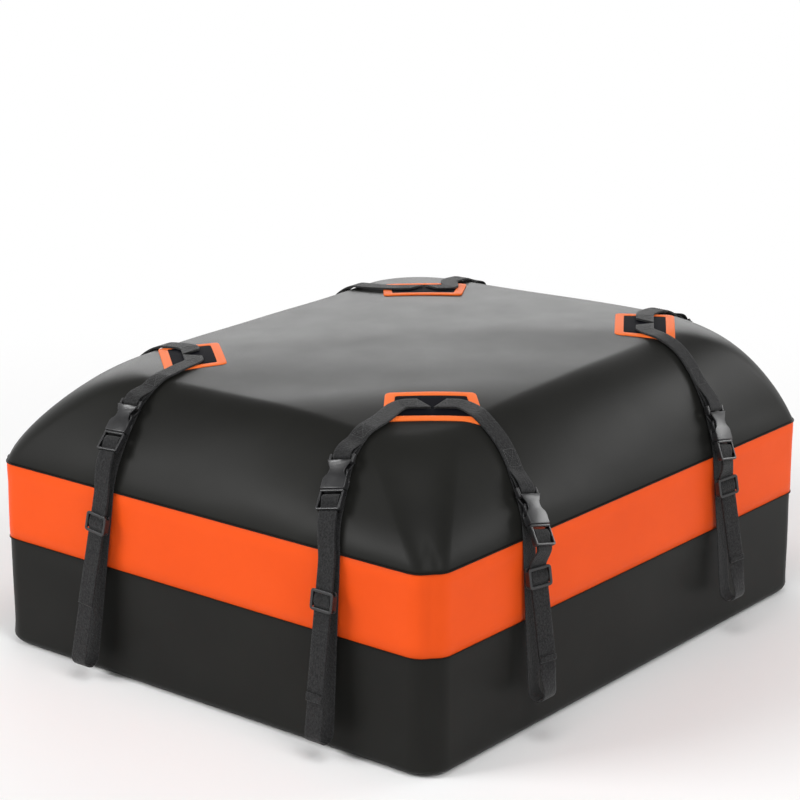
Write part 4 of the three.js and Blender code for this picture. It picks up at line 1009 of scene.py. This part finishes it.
def zip_teeth():
    """Two rows of teeth set into each other: one rounded tooth repeated along the chain line."""
    outline = rounded_rectangle(0.78, 1.9, 0.5, 1)
    levels = [(1.0, 1.3), (1.0, 3.3), (0.72, CHAIN_FACE)]
    tooth = np.array([np.column_stack([outline * scale, np.full(len(outline), out)])
                      for scale, out in levels])
    half = ZIP_HALF - 3
    count = int(2 * half / TOOTH_PITCH)
    shift = np.zeros((2, count, 3))
    shift[:, :, 0] = np.linspace(-half, half, count) + np.array([[0.0], [TOOTH_PITCH / 2]])
    shift[:, :, 1] = np.array([[1.25], [-1.25]])
    local = tooth + shift.reshape(-1, 1, 1, 3)
    faces = repeated(capped_faces(*tooth.shape[:2]), tooth.shape[0] * tooth.shape[1], 2 * count)
    return local.reshape(-1, 3), faces, None


def zip_slider_parts():
    """The zip slider: a tapered top plate with rounded edges, two side walls, and cheeks with a pin."""
    outline = rounded_rectangle(8, 8.4, 3)
    outline[:, 1] *= 0.88 - 0.12 * outline[:, 0] / 8
    return gather([
        plate(outline, CHAIN_FACE + 0.3, SLIDER_FACE, 0.7),
        *box_pair((-6.5, 3.7, 1.9), (6.5, 6.2, CHAIN_FACE + 0.8), 0.6, axis=1),
        *box_pair((4.4, -PIN_DROP - 1.4, SLIDER_FACE - 0.8),
                  (6.0, -PIN_DROP + 1.4, PIN_DEPTH + 1.3), 0.5),
        box_plate((-5.2, -PIN_DROP - 0.7, PIN_DEPTH - 0.7),
                  (5.2, -PIN_DROP + 0.7, PIN_DEPTH + 0.7), 0.5),
    ])


def zip_pull_parts():
    """The pull: an eye round the pin, a waisted plate below it, and low grip bars."""
    angle = np.linspace(0, 2 * math.pi, 25)[:-1]
    radial = np.column_stack([np.zeros(24), np.cos(angle), np.sin(angle)])
    section = rounded_rectangle(3.9, 0.48, 0.3, 2)
    eye = sweep(radial * 1.79, same((1.0, 0, 0), 24), radial, section, closed=True)
    outline = rounded_rectangle(3.9, 11.8, 2.6, 5)
    outline[:, 0] *= 0.86 + 0.14 * np.cos(outline[:, 1] / 11.8 * math.pi) ** 2
    bars = [box_plate((-2.6, -drop - 0.5, 0.7), (2.6, -drop + 0.5, 1.5), 0.35)
            for drop in (15.5, 17.9, 20.3, 22.7)]
    return gather([eye, plate(outline + (0, -14.1), -1.15, 1.15, 0.8), *bars])


def rain_flap_parts():
    """The flap: a soft curve 1.2 mm thick from its hem over the chain, carried along the wall, with
    its free edge waving out and in a little."""
    t = np.linspace(0, 1, 30)
    middle = np.column_stack([34.0 - 37.0 * t, 1.0 + 6.0 * smooth_step((t - 0.3) / 0.45)])
    tangent = unit(np.gradient(middle, axis=0))
    half = 0.6 * np.sqrt(np.clip(1 - np.abs(2 * t - 1) ** 30, 0.05, 1))[:, None]
    skin = np.column_stack([-tangent[:, 1], tangent[:, 0]]) * half
    points, face = zip_line(FLAP_HALF, 0, 0, 186)
    profile = np.concatenate([middle - skin, (middle + skin)[::-1]])
    vertices, faces, uv = sweep(points, same(UP, len(points)), face, profile)
    free = smooth_step((ZIP_Z + 14 - vertices[:, 2]) / 17)
    vertices[:, 1] += 0.45 * free * np.sin(vertices[:, 0] / 33 + 0.8 * np.sin(vertices[:, 0] / 71))
    return vertices, faces, uv


slider_origin = wall_point("rear", 0, SLIDER_PLACE, ZIP_Z)
pin_origin = slider_origin - UP * PIN_DROP + ZIP_AXES[2] * PIN_DEPTH
tape = webbing(*zip_line(ZIP_HALF, 0, 0.9), TAPE_WIDTH, TAPE_THICKNESS)
add_piece("zip_tape_woven", tape, WEB, "zip", "bag", "zip_tape")
chain_origin = wall_point("rear", 0, 0, ZIP_Z)
add_piece("zip_teeth", placed(zip_teeth(), chain_origin, *ZIP_AXES), ZIP, "zip", "bag")
add_piece("zip_slider_body", placed(zip_slider_parts(), slider_origin, *ZIP_AXES), ZIP, "zip",
          "zip_slider", "zip_slider")
add_piece("zip_pull_plate", placed(zip_pull_parts(), pin_origin, *ZIP_AXES), ZIP, "zip",
          "zip_pull", "zip_pull")
flap = add_piece("rain_flap_soft", rain_flap_parts(), BLACK, "black_tarpaulin", "bag", "rain_flap")
hem = [stitch_row(*zip_line(FLAP_HALF - 3, up, 1.75, 400)) for up in (26.5, 31.5)]
flap_thread = add_piece("rain_flap_thread", gather(hem), THREAD, "black_tarpaulin", "bag")


# The stage: floor, lamps, world and camera.
def pale_floor():
    """A wide plane, pale near the bag and plain white far off, where it meets the white world."""
    half = 9000.0
    floor = make_object("floor", [(-half, -half, 0), (half, -half, 0), (half, half, 0), (-half, half, 0)],
                        [(0, 1, 2, 3)], smooth=False)
    material, graph, _ = new_material("pale_floor", (0.95, 0.95, 0.95), 0.9, 0.0)
    nodes = graph.tree.nodes
    reach = graph.add("VectorMath", "Value", {0: graph.add("TexCoord", "Object")}, operation="LENGTH")
    factor = graph.maths("MULTIPLY", graph.seen(), graph.spread(reach, 0.9, 2.2))
    white = graph.add("Emission", 0, {"Strength": 1.0})
    mixed = graph.add("MixShader", 0, {0: factor, 1: nodes["Principled BSDF"].outputs[0], 2: white})
    graph.put(nodes["Material Output"].inputs["Surface"], mixed)
    floor.data.materials.append(material)


def soft_world():
    """A plain white world that turns grey only overhead, dimmer as a light than as it is seen."""
    world = bpy.data.worlds.new("studio")
    bpy.context.scene.world = world
    world.use_nodes = True
    nodes, graph = world.node_tree.nodes, Graph(world.node_tree)
    upward = graph.split(graph.add("TexCoord", "Generated"))[2]
    level = graph.ramp(upward, [(0.0, (1, 1, 1)), (0.3, (1, 1, 1)), (0.55, (0.35, 0.35, 0.35)),
                                (0.85, (0.12, 0.12, 0.12))])
    soft = nodes["Background"]
    soft.inputs["Strength"].default_value = SOFT_LIGHT
    graph.put(soft.inputs["Color"], level)
    plain = graph.add("Background", 0, {"Color": level})
    mixed = graph.add("MixShader", 0, {0: graph.seen(), 1: soft.outputs[0], 2: plain})
    graph.put(nodes["World Output"].inputs["Surface"], mixed)


def aim(holder, target):
    """Turns a lamp or a camera towards a point and puts it in the scene."""
    holder.rotation_euler = (Vector(target) - holder.location).to_track_quat("-Z", "Y").to_euler()
    bpy.context.scene.collection.objects.link(holder)


def soft_lamp(name, place, target, size, power):
    """A large rectangular lamp aimed at a point."""
    lamp = bpy.data.lights.new(name, "AREA")
    lamp.shape = "RECTANGLE"
    lamp.size, lamp.size_y = size
    lamp.energy = power
    holder = bpy.data.objects.new(name, lamp)
    holder.location = place
    aim(holder, target)


SOFT_LIGHT = 0.7
pale_floor()
soft_world()
soft_lamp("key_lamp", (-2.2, -3.4, 2.7), (0, 0, 0.25), (2.2, 1.5), 119)
soft_lamp("fill_lamp", (2.9, -1.2, 2.7), (0, 0, 0.3), (1.7, 1.4), 43)
soft_lamp("rear_lamp", (-2.2, 2.75, 1.5), (0, 0, 0.5), (4.4, 1.1), 56)
soft_lamp("side_lamp", (1.9, 2.7, 1.5), (0.3, 0, 0.4), (1.8, 0.9), 29)
soft_lamp("top_lamp", (0.75, -0.75, 2.5), (0.3, -0.3, 0.4), (1.1, 1.1), 16)

camera = bpy.data.cameras.new("camera")
camera.lens = 104.2
camera.sensor_width = 36.0
view = bpy.data.objects.new("camera", camera)
view.location = (2.310, -2.906, 1.423)
aim(view, (-0.024, 0.0, 0.3725))
bpy.context.scene.camera = view
bpy.context.scene.view_settings.view_transform = "Standard"
